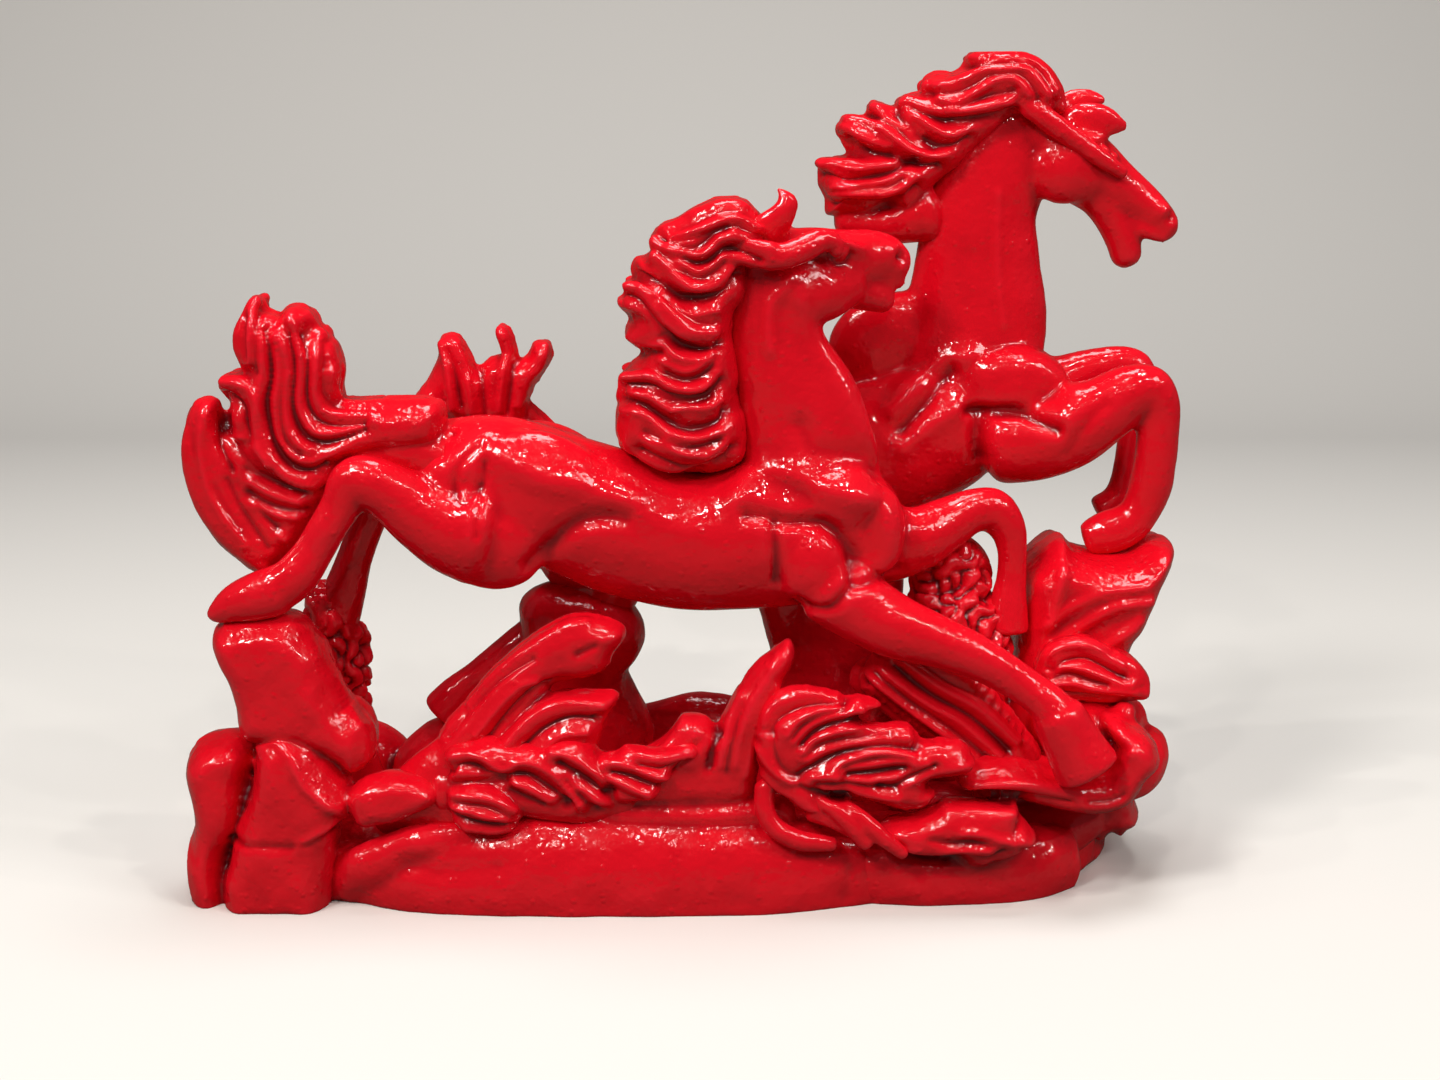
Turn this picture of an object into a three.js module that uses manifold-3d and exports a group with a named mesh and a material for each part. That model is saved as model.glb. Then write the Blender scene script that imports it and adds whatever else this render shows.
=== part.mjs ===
// Two galloping horses over a rocky bank with wind-blown tufts: an openwork ornament cast in
// resin sections that are glued together and painted over in one glossy red.
// Millimetres, +Z up. The display side faces -Y and the horses run towards +X.
// The origin lies in the flat underside, near its middle.

import * as THREE from "three";
import { mergeVertices } from "three/addons/utils/BufferGeometryUtils.js";
import Module from "manifold-3d";

const wasm = await Module();
wasm.setup();

// Driving sizes
const glueLine = 0.3; // gap between neighbouring castings
const bankLength = 368;
const bankDepth = 120; // of the ground, front to back
const groundHeight = 22;
const groundInset = 5; // how far the ground's top edge is drawn in
const rockGrain = 60; // how wide the humps along the ground's rim are
const lockRidge = 0.16; // depth of the combed ridges on hair, as a share of its radius
const boulderWear = 0.2; // how far a boulder's skin strays, as a share of its radius
const hairTip = 1.6; // radius of the blunt tips of hair and blades
const frontPlane = -26; // middle plane of the front horse
const frontHeight = 142; // of the middle of its barrel, above the underside
const rearPlane = 31; // middle plane of the rear horse
const rearHeight = 139; // of the middle of its barrel, above the underside

// Half widths (across) and half heights (up) of the horses' bodies
const rump = [17, 17];
const croup = [23, 26];
const loin = [22, 28];
const barrel = [24, 29];
const girth = [24, 30];
const shoulder = [21, 28];
const breast = [15, 21];
const neckFoot = [18, 28];
const neckLow = [15, 25];
const neckHigh = [13, 20];
const throat = [11, 16];
const archedLow = [15, 28]; // of the rear horse's neck, which is arched and thicker
const archedHigh = [13, 23];
const archedThroat = [12, 20];

// Radii of the legs, across and in the plane of the stride
const hip = [13, 22];
const stifle = [10, 14];
const gaskin = [8.5, 9.5];
const hock = [7, 9];
const hindCannon = [6, 6.5];
const upperArm = [11, 15];
const elbow = [10, 13];
const forearm = [8, 10];
const knee = [7.5, 9];
const foreCannon = [6, 7];
const fetlock = [6.5, 7.5];
const pastern = [5.5, 6.5];
const coronet = [7.5, 8.5];
const sole = [10.5, 12];
const hoofLength = 16;
const coronetHeight = 2; // how soon the pastern flares into the hoof
const strokePoints = 12; // how many steps a stroke of relief is measured in

const resin = new THREE.MeshStandardMaterial({ color: 0xc00a18, roughness: 0.18, metalness: 0 });

const vector = (point) => new THREE.Vector3(...point);
const grownBy = (size, grow) => size.map((radius) => radius + grow);

// A closed body from a list of rings of points, with a pole beyond each end ring
function bodyOfRings(firstPole, rings, lastPole) {
  const count = rings[0].length;
  const points = [firstPole, ...rings.flat(), lastPole];
  const last = points.length - 1;
  const triangles = [];
  for (let i = 0; i < count; i++) {
    const next = (i + 1) % count;
    triangles.push(0, 1 + next, 1 + i);
    for (let ring = 0; ring < rings.length - 1; ring++) {
      const near = 1 + ring * count;
      const far = near + count;
      triangles.push(near + i, near + next, far + i, near + next, far + next, far + i);
    }
    triangles.push(last, last - count + i, last - count + next);
  }
  return solidOf(points.flatMap((point) => point.toArray()), triangles);
}

function solidOf(positions, triangles) {
  return new wasm.Manifold(
    new wasm.Mesh({
      numProp: 3,
      vertProperties: new Float32Array(positions),
      triVerts: new Uint32Array(triangles),
    }),
  );
}

function solidOfGeometry(geometry) {
  geometry.deleteAttribute("normal");
  geometry.deleteAttribute("uv");
  const merged = mergeVertices(geometry);
  return solidOf(merged.attributes.position.array, merged.index.array);
}

// Three slow waves that make a rock's skin rise and fall, from -1 to 1
function weathering({ x, y, z }, seed) {
  const waves = [3.1 * x + 1.7 * seed, 3.7 * y + 2 * z + 2.3 * seed, 4.3 * z + 2 * x + 0.9 * seed];
  return waves.reduce((sum, wave) => sum + Math.sin(wave), 0) / waves.length;
}

// How far the strokes of a relief lift the skin at a point: each one's height at its line,
// fading out over its reach to both sides
function liftedBy(relief, point) {
  return relief.reduce((sum, { line, reach, height }) => {
    const gap = Math.min(...line.map((place) => place.distanceTo(point)));
    return sum + height * Math.exp(-((gap / reach) ** 2));
  }, 0);
}

// An elliptical section carried along a smooth path. A shape is a function of how far its
// skin is moved out, so that a neighbour can be cut back to leave the glue line.
// sizes holds [across, upright] radii at the path's points; across is the first one's direction.
function loft(path, sizes, options = {}) {
  const { sides = 10, across = [0, 1, 0], ridges = 0, rugged = 0, pointed = false } = options;
  const { ends = [0.8, 0.8], stations = path.length, relief = [] } = options;
  return (grow) => {
    const line = new THREE.CatmullRomCurve3(path.map(vector));
    const radii = sizes.map((size) => vector([...size, 0]));
    const spread = new THREE.CatmullRomCurve3(radii, false, "catmullrom");
    const section = (share, shift, shrink) => {
      const tangent = line.getTangent(share).normalize();
      const wide = vector(across).addScaledVector(tangent, -tangent.dot(vector(across))).normalize();
      const tall = new THREE.Vector3().crossVectors(tangent, wide);
      const size = spread.getPoint(share);
      const centre = line.getPoint(share).addScaledVector(tangent, shift);
      return Array.from({ length: sides }, (_, i) => {
        const turn = (2 * Math.PI * i) / sides;
        const ridge = ridges ? lockRidge * Math.cos(ridges * turn) : 0;
        const facing = new THREE.Vector3(Math.cos(turn), Math.sin(turn), 2 * share);
        const wear = rugged * weathering(facing, sizes.length);
        const swell = shrink * (1 + ridge + wear);
        const outward = (out) =>
          new THREE.Vector3()
            .addScaledVector(wide, swell * (size.x + out) * Math.cos(turn))
            .addScaledVector(tall, swell * (size.y + out) * Math.sin(turn));
        const lift = liftedBy(relief, outward(0).add(centre));
        const skin = outward(grow);
        return skin.addScaledVector(skin.clone().normalize(), lift).add(centre);
      });
    };
    const reach = (end) => ends[end] * Math.min(...sizes.at(-end)) + grow;
    const pole = (end, sign) =>
      line.getPoint(end).addScaledVector(line.getTangent(end).normalize(), sign * reach(end));
    const shares = Array.from({ length: stations }, (_, i) => i / (stations - 1));
    const rings = shares.map((share) => section(share, 0, 1));
    if (!pointed) {
      rings.unshift(section(0, -reach(0) * Math.SQRT1_2, Math.SQRT1_2));
      rings.push(section(1, reach(1) * Math.SQRT1_2, Math.SQRT1_2));
    }
    return bodyOfRings(pole(0, -1), rings, pole(1, 1));
  };
}

// A line on a horse's near flank and its fellow on the far one
const onBothFlanks = (line, place) =>
  [1, -1].map((side) => place(line.map(([x, y, z]) => [x, side * y, z])));

// Relief on both flanks, from strokes on the near one: [line, reach, height]
const flankRelief = (strokes, place) =>
  strokes.flatMap(([stroke, reach, height]) =>
    onBothFlanks(stroke, place).map((points) => {
      const curve = new THREE.CatmullRomCurve3(points.map(vector));
      return { line: curve.getPoints(strokePoints), reach, height };
    }),
  );

// The large muscles of both flanks, from those of the near one: [path, sizes]
const flankMuscles = (muscles, place) =>
  muscles.flatMap(([path, sizes]) =>
    onBothFlanks(path, place).map((points) => loft(points, sizes, { sides: 8 })),
  );

// A weathered boulder: a ball with a rugged skin
function boulder(centre, radii, seed, detail = 2) {
  return (grow) => {
    const geometry = new THREE.IcosahedronGeometry(1, detail);
    const place = geometry.attributes.position;
    const point = new THREE.Vector3();
    const size = vector(grownBy(radii, grow));
    for (let i = 0; i < place.count; i++) {
      point.fromBufferAttribute(place, i);
      point.multiplyScalar(1 + boulderWear * weathering(point, seed)).multiply(size);
      place.setXYZ(i, ...point.toArray());
    }
    geometry.translate(...centre);
    return solidOfGeometry(geometry);
  };
}

// A lock of hair or a blade of a tuft: a ridged lens that narrows to a blunt tip.
// outward is 1 where its two ridges face the display side, and -1 where they face the back.
function lock(path, thick, wide, outward = 1) {
  const last = path.length - 1;
  const sizes = path.map((_, i) => {
    const swell = Math.sin(Math.PI * (0.28 + (0.52 * i) / last));
    return i === last ? [hairTip, hairTip] : [thick * swell, wide * swell];
  });
  return loft(path, sizes, { sides: 6, ridges: 3, across: [0, outward, 0], pointed: true });
}

// The same hair on the far side of a horse, raised a little so that it is no copy
function mirrored(path, plane, lift) {
  return path.map(([x, y, z], i) => [x + (i - 1) * lift, 2 * plane - y, z + lift]);
}

// A head in its own frame: along runs from poll to nose, up is towards the brow.
// Places along are shares of its length, and places up or sideways and radii are shares of
// its length times bulk, which is above 1 on a head that is foreshortened.
function head({ line: [poll, nose], across, bulk, gape, earTips }) {
  const along = vector(nose).sub(vector(poll));
  const length = along.length();
  along.normalize();
  const side = vector(across).addScaledVector(along, -along.dot(vector(across))).normalize();
  const up = new THREE.Vector3().crossVectors(along, side);
  if (up.z < 0) up.negate();
  const depth = length * bulk;
  const at = ([a, u, s = 0]) =>
    vector(poll)
      .addScaledVector(along, a * length)
      .addScaledVector(up, u * depth)
      .addScaledVector(side, s * depth)
      .toArray();
  const sized = (pairs) => pairs.map((pair) => pair.map((share) => share * depth));
  const facing = { across: side.toArray(), sides: 8 };
  const face = loft(
    [[0, 0], [0.2, 0], [0.4, -0.01], [0.6, -0.025], [0.84, -0.048], [0.95, -0.045]].map(at),
    sized([[0.12, 0.13], [0.14, 0.14], [0.135, 0.135], [0.1, 0.115], [0.085, 0.1], [0.08, 0.08]]),
    { ...facing, ends: [0.5, 0.7] },
  );
  const cheek = loft(
    [[0.2, -0.09], [0.36, -0.14], [0.5, -0.12]].map(at),
    sized([[0.1, 0.13], [0.125, 0.155], [0.09, 0.12]]),
    facing,
  );
  const jaw = loft(
    [[0.45, 0.04, 0], [0.62, 0.02, 0.1], [0.74, 0, 0.4], [0.81, 0, 0.75]]
      .map(([a, u, share]) => at([a, u - 0.2 - share * gape])),
    sized([[0.08, 0.08], [0.06, 0.06], [0.055, 0.055], [0.06, 0.07]]),
    facing,
  );
  const ears = earTips.map(([a, u, s]) =>
    loft(
      [[0.1, 0.08, 0.5 * s], [0.04 + 0.6 * a, 0.03 + 0.6 * u, 0.9 * s], [a, u, s]].map(at),
      sized([[0.045, 0.07], [0.04, 0.085], [0.02, 0.035]]),
      { ...facing, sides: 6 },
    ),
  );
  return [face, cheek, jaw, ...ears];
}

const halfway = (from, to) => from.map((value, i) => (value + to[i]) / 2);

// A point beyond a leg's toe, along the hoof
function pastToe([, , , ankle, toe], distance) {
  const direction = vector(toe).sub(vector(ankle)).normalize();
  return vector(toe).addScaledVector(direction, distance);
}

// A point measured from the middle of a leg's sole
const fromSole = (leg, offset) => pastToe(leg, hoofLength).add(vector(offset)).toArray();

// One loft from the body to the flat sole, mitred at the joints
function limb(points, sizes) {
  const [top, bend, joint, ankle, toe] = points;
  const path = [top, bend, halfway(bend, joint), joint, halfway(joint, ankle), ankle, toe];
  path.push(...[coronetHeight, hoofLength].map((distance) => pastToe(points, distance).toArray()));
  return loft(path, [...sizes, fetlock, pastern, coronet, sole], { ends: [0.5, 0.1] });
}

const hindLeg = (points) => [limb(points, [hip, stifle, gaskin, hock, hindCannon])];
const foreLeg = (points) => [limb(points, [upperArm, elbow, forearm, knee, foreCannon])];

// Front horse, with its points measured from its middle plane and the middle of its barrel
const front = (path) => path.map(([x, y, z]) => [x, frontPlane + y, frontHeight + z]);
const frontSpine = front([[-92, 0, 28], [-72, 0, 21], [-38, 0, 10], [-3, 0, -1],
  [31, 0, -1], [58, 0, 2], [74, 0, 2]]);
const frontNeck = front([[53, 0, 14], [47, 0, 46], [38, 0, 74], [37, 0, 100]]);
const frontMuscles = [
  [[[-50, -12, 22], [-62, -14, 14], [-74, -14, 1]], [[9, 15], [12, 22], [12, 19]]], // haunch
  [[[51, -16, 5], [52, -17, -10], [54, -16, -20]], [[8, 10], [11, 15], [8, 11]]], // upper arm
];
const frontRelief = [
  [[[-74, -22, 35], [-60, -23, 30], [-40, -23, 23], [-20, -23, 15]], 9, 4], // haunch
  [[[-18, -23, 8], [-38, -23, 5], [-54, -23, -8]], 6, -3], // flank hollow
  [[[23, -22, 16], [32, -22, 25], [50, -22, 23], [66, -19, 18], [77, -14, 11], [80, -12, -4]],
    7, 4.5], // fold over the shoulder
  [[[28, -22, 11], [42, -22, 9], [58, -21, 7], [66, -20, -4], [66, -20, -13]], 4, -3], // hollow under it
  [[[43, -11, 96], [48, -14, 84], [57, -15, 68], [65, -15, 51], [74, -14, 34]], 6, 3.5], // throat cord
  [[[46, -18, 46], [52, -20, 36], [62, -19, 33]], 6, -2], // hollow of the neck
];
const frontTorso = [
  loft(frontSpine, [rump, croup, loin, barrel, girth, shoulder, breast],
    { sides: 14, stations: 18, relief: flankRelief(frontRelief, front) }),
  loft(frontNeck, [neckFoot, neckLow, neckHigh, throat],
    { sides: 12, stations: 8, ends: [0.3, 0.5], relief: flankRelief(frontRelief, front) }),
  ...flankMuscles(frontMuscles, front),
];
const frontHead = head({
  line: front([[40, 0, 108], [93, 32, 104]]),
  across: [0.6, -0.9, 0.2],
  bulk: 1.38,
  gape: 0.04,
  earTips: [[-0.05, 0.25, 0.08], [-0.08, 0.2, -0.14]],
});
const frontNearHind = front(
  [[-68, -12, 16], [-80, -16, -4], [-119, -18, 24], [-146, -21, -12], [-164, -23, -20]],
);
const frontFarHind = front(
  [[-68, 12, 16], [-82, 14, -5], [-113, 17, 10], [-130, 19, -21], [-136, 20, -34]],
);
const frontNearFore = front(
  [[68, -12, 0], [56, -16, -20], [116, -23, -44], [143, -27, -62], [150, -28, -74]],
);
const frontFarFore = front(
  [[70, 12, -2], [86, 15, -6], [124, 18, 5], [131, 18, -24], [131, 17, -34]],
);
const frontManeLocks = [
  [[29, -8, 116], [17, -12, 119], [4, -10, 115], [-5, -7, 111]],
  [[26, -14, 111], [14, -16, 108], [3, -14, 105], [-5, -10, 107]],
  [[25, -16, 107], [13, -18, 97], [0, -16, 96], [-12, -10, 100]],
  [[22, -16, 96], [11, -18, 85], [-4, -16, 87], [-16, -10, 92]],
  [[20, -16, 84], [9, -18, 73], [-5, -16, 76], [-17, -10, 83]],
  [[20, -16, 71], [9, -18, 61], [-6, -16, 63], [-16, -10, 67]],
  [[21, -16, 58], [10, -18, 49], [-6, -16, 51], [-19, -10, 56]],
  [[24, -16, 46], [12, -18, 37], [-4, -16, 40], [-18, -10, 44]],
  [[28, -16, 34], [14, -17, 26], [-2, -15, 28], [-16, -9, 32]],
].map(front);
const frontForelock = front([[26, -12, 108], [38, -14, 106], [48, -12, 110], [57, -4, 112]]);
const frontManeCore = loft(
  front([[34, 0, 108], [18, 0, 104], [4, 0, 80], [3, 0, 54], [14, 0, 32]]),
  [[8, 8], [11, 12], [12, 14], [12, 15], [11, 10]],
);
const frontTailLocks = [
  [[-76, -10, 37], [-104, -12, 41], [-125, -12, 47], [-134, -9, 66], [-144, -6, 86]],
  [[-78, -14, 33], [-106, -14, 35], [-133, -14, 41], [-147, -11, 60], [-158, -6, 88]],
  [[-83, -15, 27], [-112, -16, 29], [-142, -15, 36], [-155, -11, 57], [-163, -6, 80]],
  [[-91, -15, 22], [-119, -16, 24], [-146, -15, 33], [-160, -11, 52], [-173, -7, 57]],
].map(front);
const frontTailSkirt = [
  [[-178, -6, 48], [-181, -7, 36], [-178, -8, 20], [-171, -9, 4], [-161, -10, -9]],
  [[-168, -6, 38], [-153, -8, 26], [-135, -7, 17]],
  [[-169, -6, 26], [-154, -8, 15], [-137, -6, 8]],
  [[-167, -6, 12], [-156, -8, 3], [-142, -6, -2]],
].map(front);

// Rear horse, with its points measured from its middle plane and the middle of its barrel
const rear = (path) => path.map(([x, y, z]) => [x, rearPlane + y, rearHeight + z]);
const rearSpine = rear([[-62, 0, -4], [-38, 0, -2], [-1, 0, 0], [41, 0, 12],
  [82, 0, 27], [112, 0, 41], [128, 0, 45]]);
const rearNeck = rear([[113, 0, 46], [118, 0, 77], [121, 0, 112], [129, 0, 145]]);
const rearMuscles = [
  [[[-47, -12, 4], [-39, -14, -8], [-31, -15, -24]], [[9, 15], [12, 22], [10, 13]]], // haunch
  [[[114, -12, 58], [128, -14, 58], [141, -14, 54], [148, -12, 51]],
    [[9, 13], [12, 18], [12, 18], [9, 14]]], // point of the shoulder
  [[[124, -14, 36], [140, -15, 30]], [[10, 15], [10, 15]]], // upper arm
];
const rearRelief = [
  [[[85, -23, 46], [94, -23, 55], [106, -21, 64], [117, -20, 68]], 7, 3.5], // shoulder blade
  [[[89, -23, 38], [99, -23, 50], [108, -22, 60]], 5, -2.5], // hollow behind it
  [[[116, -20, 46], [134, -19, 45], [148, -15, 41]], 4, -3], // hollow under it
];
const rearTorso = [
  loft(rearSpine, [rump, croup, loin, barrel, girth, shoulder, breast],
    { sides: 14, stations: 18, relief: flankRelief(rearRelief, rear) }),
  loft(rearNeck, [neckFoot, archedLow, archedHigh, archedThroat],
    { sides: 12, stations: 8, ends: [0.3, 0.5], relief: flankRelief(rearRelief, rear) }),
  ...flankMuscles(rearMuscles, rear),
];
const rearHead = head({
  line: rear([[135, 0, 160], [200, 0, 118]]),
  across: [0, -1, 0],
  bulk: 1.04,
  gape: 0.17,
  earTips: [[0.42, 0.26, 0.12], [0.3, 0.22, -0.14]],
});
const rearNearFore = rear(
  [[134, -16, 36], [148, -19, 34], [189, -22, 55], [190, -22, 14], [183, -21, 2]],
);
const rearFarFore = rear(
  [[134, 12, 42], [152, 12, 48], [187, 12, 60], [185, 11, 17], [180, 9, 4]],
);
const rearNearHind = rear(
  [[-40, -10, -7], [-32, -15, -27], [-66, -16, -43], [-88, -16, -63], [-95, -16, -73]],
);
const rearFarHind = rear(
  [[-36, 10, -7], [-22, 16, -29], [-52, 18, -51], [-66, 19, -75], [-71, 19, -84]],
);
const rearManeLocks = [
  [[146, -7, 167], [141, -7, 174], [131, -5, 177], [121, -1, 179]],
  [[141, -11, 165], [129, -12, 172], [117, -9, 169], [105, -3, 169]],
  [[133, -13, 163], [121, -14, 164], [108, -11, 161], [95, -3, 163]],
  [[128, -14, 159], [113, -16, 156], [96, -13, 157], [82, -3, 160]],
  [[121, -14, 153], [106, -16, 148], [88, -13, 151], [70, -3, 154]],
  [[112, -14, 145], [96, -17, 140], [79, -13, 142], [63, -3, 144]],
  [[106, -14, 137], [90, -17, 132], [74, -13, 133], [61, -3, 136]],
  [[100, -14, 129], [87, -17, 124], [74, -13, 126], [63, -3, 127]],
].map(rear);
const rearForelock = rear([[130, -10, 165], [143, -13, 162], [157, -12, 152], [168, -10, 144]]);
const rearManeCore = loft(
  rear([[146, 0, 163], [122, 0, 160], [102, 0, 149], [94, 0, 131]]),
  [[8, 7], [10, 11], [11, 14], [10, 10]],
);
const rearTailLocks = [
  [[-50, 0, 13], [-82, -1, 39], [-94, -1, 56], [-96, 1, 68]],
  [[-50, 1, 13], [-74, 1, 45], [-73, 1, 61], [-74, 3, 72]],
  [[-48, 3, 13], [-65, 3, 45], [-61, 4, 56], [-57, 5, 65]],
].map(rear);

// Ground, rocks and tufts. The ground's outline holds shares of its half length and half depth.
const groundOutline = [
  [-1, -0.27], [-0.98, -0.57], [-0.87, -0.77], [-0.65, -0.83], [-0.33, -0.87], [0, -0.87],
  [0.24, -0.83], [0.37, -0.73], [0.56, -0.73], [0.79, -0.63], [0.92, -0.43], [1, 0.07],
  [0.97, 0.6], [0.82, 0.83], [0.54, 0.92], [0.22, 0.95], [-0.22, 0.93], [-0.6, 0.9],
  [-0.86, 0.73], [-0.98, 0.27],
];
const leftEnd = -bankLength / 2;
const rightEnd = bankLength / 2;
const frontEdge = -bankDepth / 2;
const backEdge = bankDepth / 2;
const fromFront = (path) => path.map(([x, y, z]) => [x, frontEdge + y, z]);
const fromBack = (path) => path.map(([x, y, z]) => [x, backEdge - y, z]);
const crestBlades = [
  [[-90, 16, 56], [-67, 20, 85], [-44, 26, 100], [-24, 30, 104]],
  [[-80, 12, 54], [-57, 16, 78], [-38, 22, 90], [-23, 26, 95]],
  [[-72, 10, 50], [-51, 14, 71], [-34, 20, 78], [-26, 24, 82]],
  [[-64, 10, 46], [-45, 14, 60], [-29, 18, 65]],
].map(fromFront);
const leftTuftBlades = [
  [[-88, 10, 53], [-71, 6, 59], [-56, 5, 54], [-40, 3, 40]],
  [[-84, 6, 46], [-67, 3, 52], [-49, 2, 47], [-30, 2, 42]],
  [[-53, 10, 62], [-35, 7, 57], [-26, 4, 42]],
  [[-45, 12, 62], [-29, 8, 54], [-9, 5, 47]],
].map(fromFront);
const fanBlades = [
  [[40, 6, 45], [36, 8, 66], [47, 12, 78], [67, 18, 78]],
  [[42, 4, 45], [43, 5, 62], [60, 9, 73], [81, 15, 73]],
  [[45, 2, 44], [52, 3, 58], [70, 6, 66], [92, 12, 67]],
  [[48, 1, 42], [62, 1, 53], [81, 3, 60], [109, 8, 60]],
  [[48, 0, 40], [66, 0, 47], [84, 2, 47], [100, 5, 49]],
  [[42, 2, 50], [33, 2, 38], [42, 2, 26], [60, 3, 24]],
  [[39, 2, 50], [51, 0, 37], [68, 2, 27], [86, 5, 23]],
].map(fromFront);
const slopeBlades = [
  [[70, -16, 92], [90, -26, 82], [114, -34, 68], [140, -36, 58]],
  [[66, -20, 82], [84, -30, 70], [108, -38, 58], [130, -42, 52]],
];
const cliffBlades = [
  [[140, -14, 84], [158, -20, 91], [172, -18, 90], [184, -14, 80]],
  [[138, -18, 76], [160, -24, 84], [174, -22, 80], [184, -18, 72]],
  [[140, -20, 68], [164, -27, 74], [184, -22, 67]],
];

const hair = (paths, thick, wide, outward = 1) => paths.map((path) => lock(path, thick, wide, outward));
const everyThird = (paths, plane, lift) =>
  paths.filter((_, i) => i % 3 === 0).map((path) => mirrored(path, plane, lift));

// The ground: its outline carried upwards, drawn in at the top edge
function ground(grow) {
  const corners = groundOutline.map(([x, y]) => vector([x * rightEnd, (y * bankDepth) / 2, 0]));
  const rim = new THREE.CatmullRomCurve3(corners, true);
  const points = rim.getPoints(32).slice(0, -1);
  const ring = (height, inset) =>
    points.map((point) => {
      const worn = inset - 2 * weathering(point.clone().setZ(height).divideScalar(rockGrain), 3);
      return point.clone().setLength(point.length() + grow - worn).setZ(height);
    });
  const top = groundHeight + grow;
  return bodyOfRings(
    vector([0, 0, -grow]),
    [ring(-grow, 1.5), ring(3, 0), ring(groundHeight - groundInset, 1), ring(top, groundInset)],
    vector([0, 0, top + 2]),
  );
}

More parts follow.
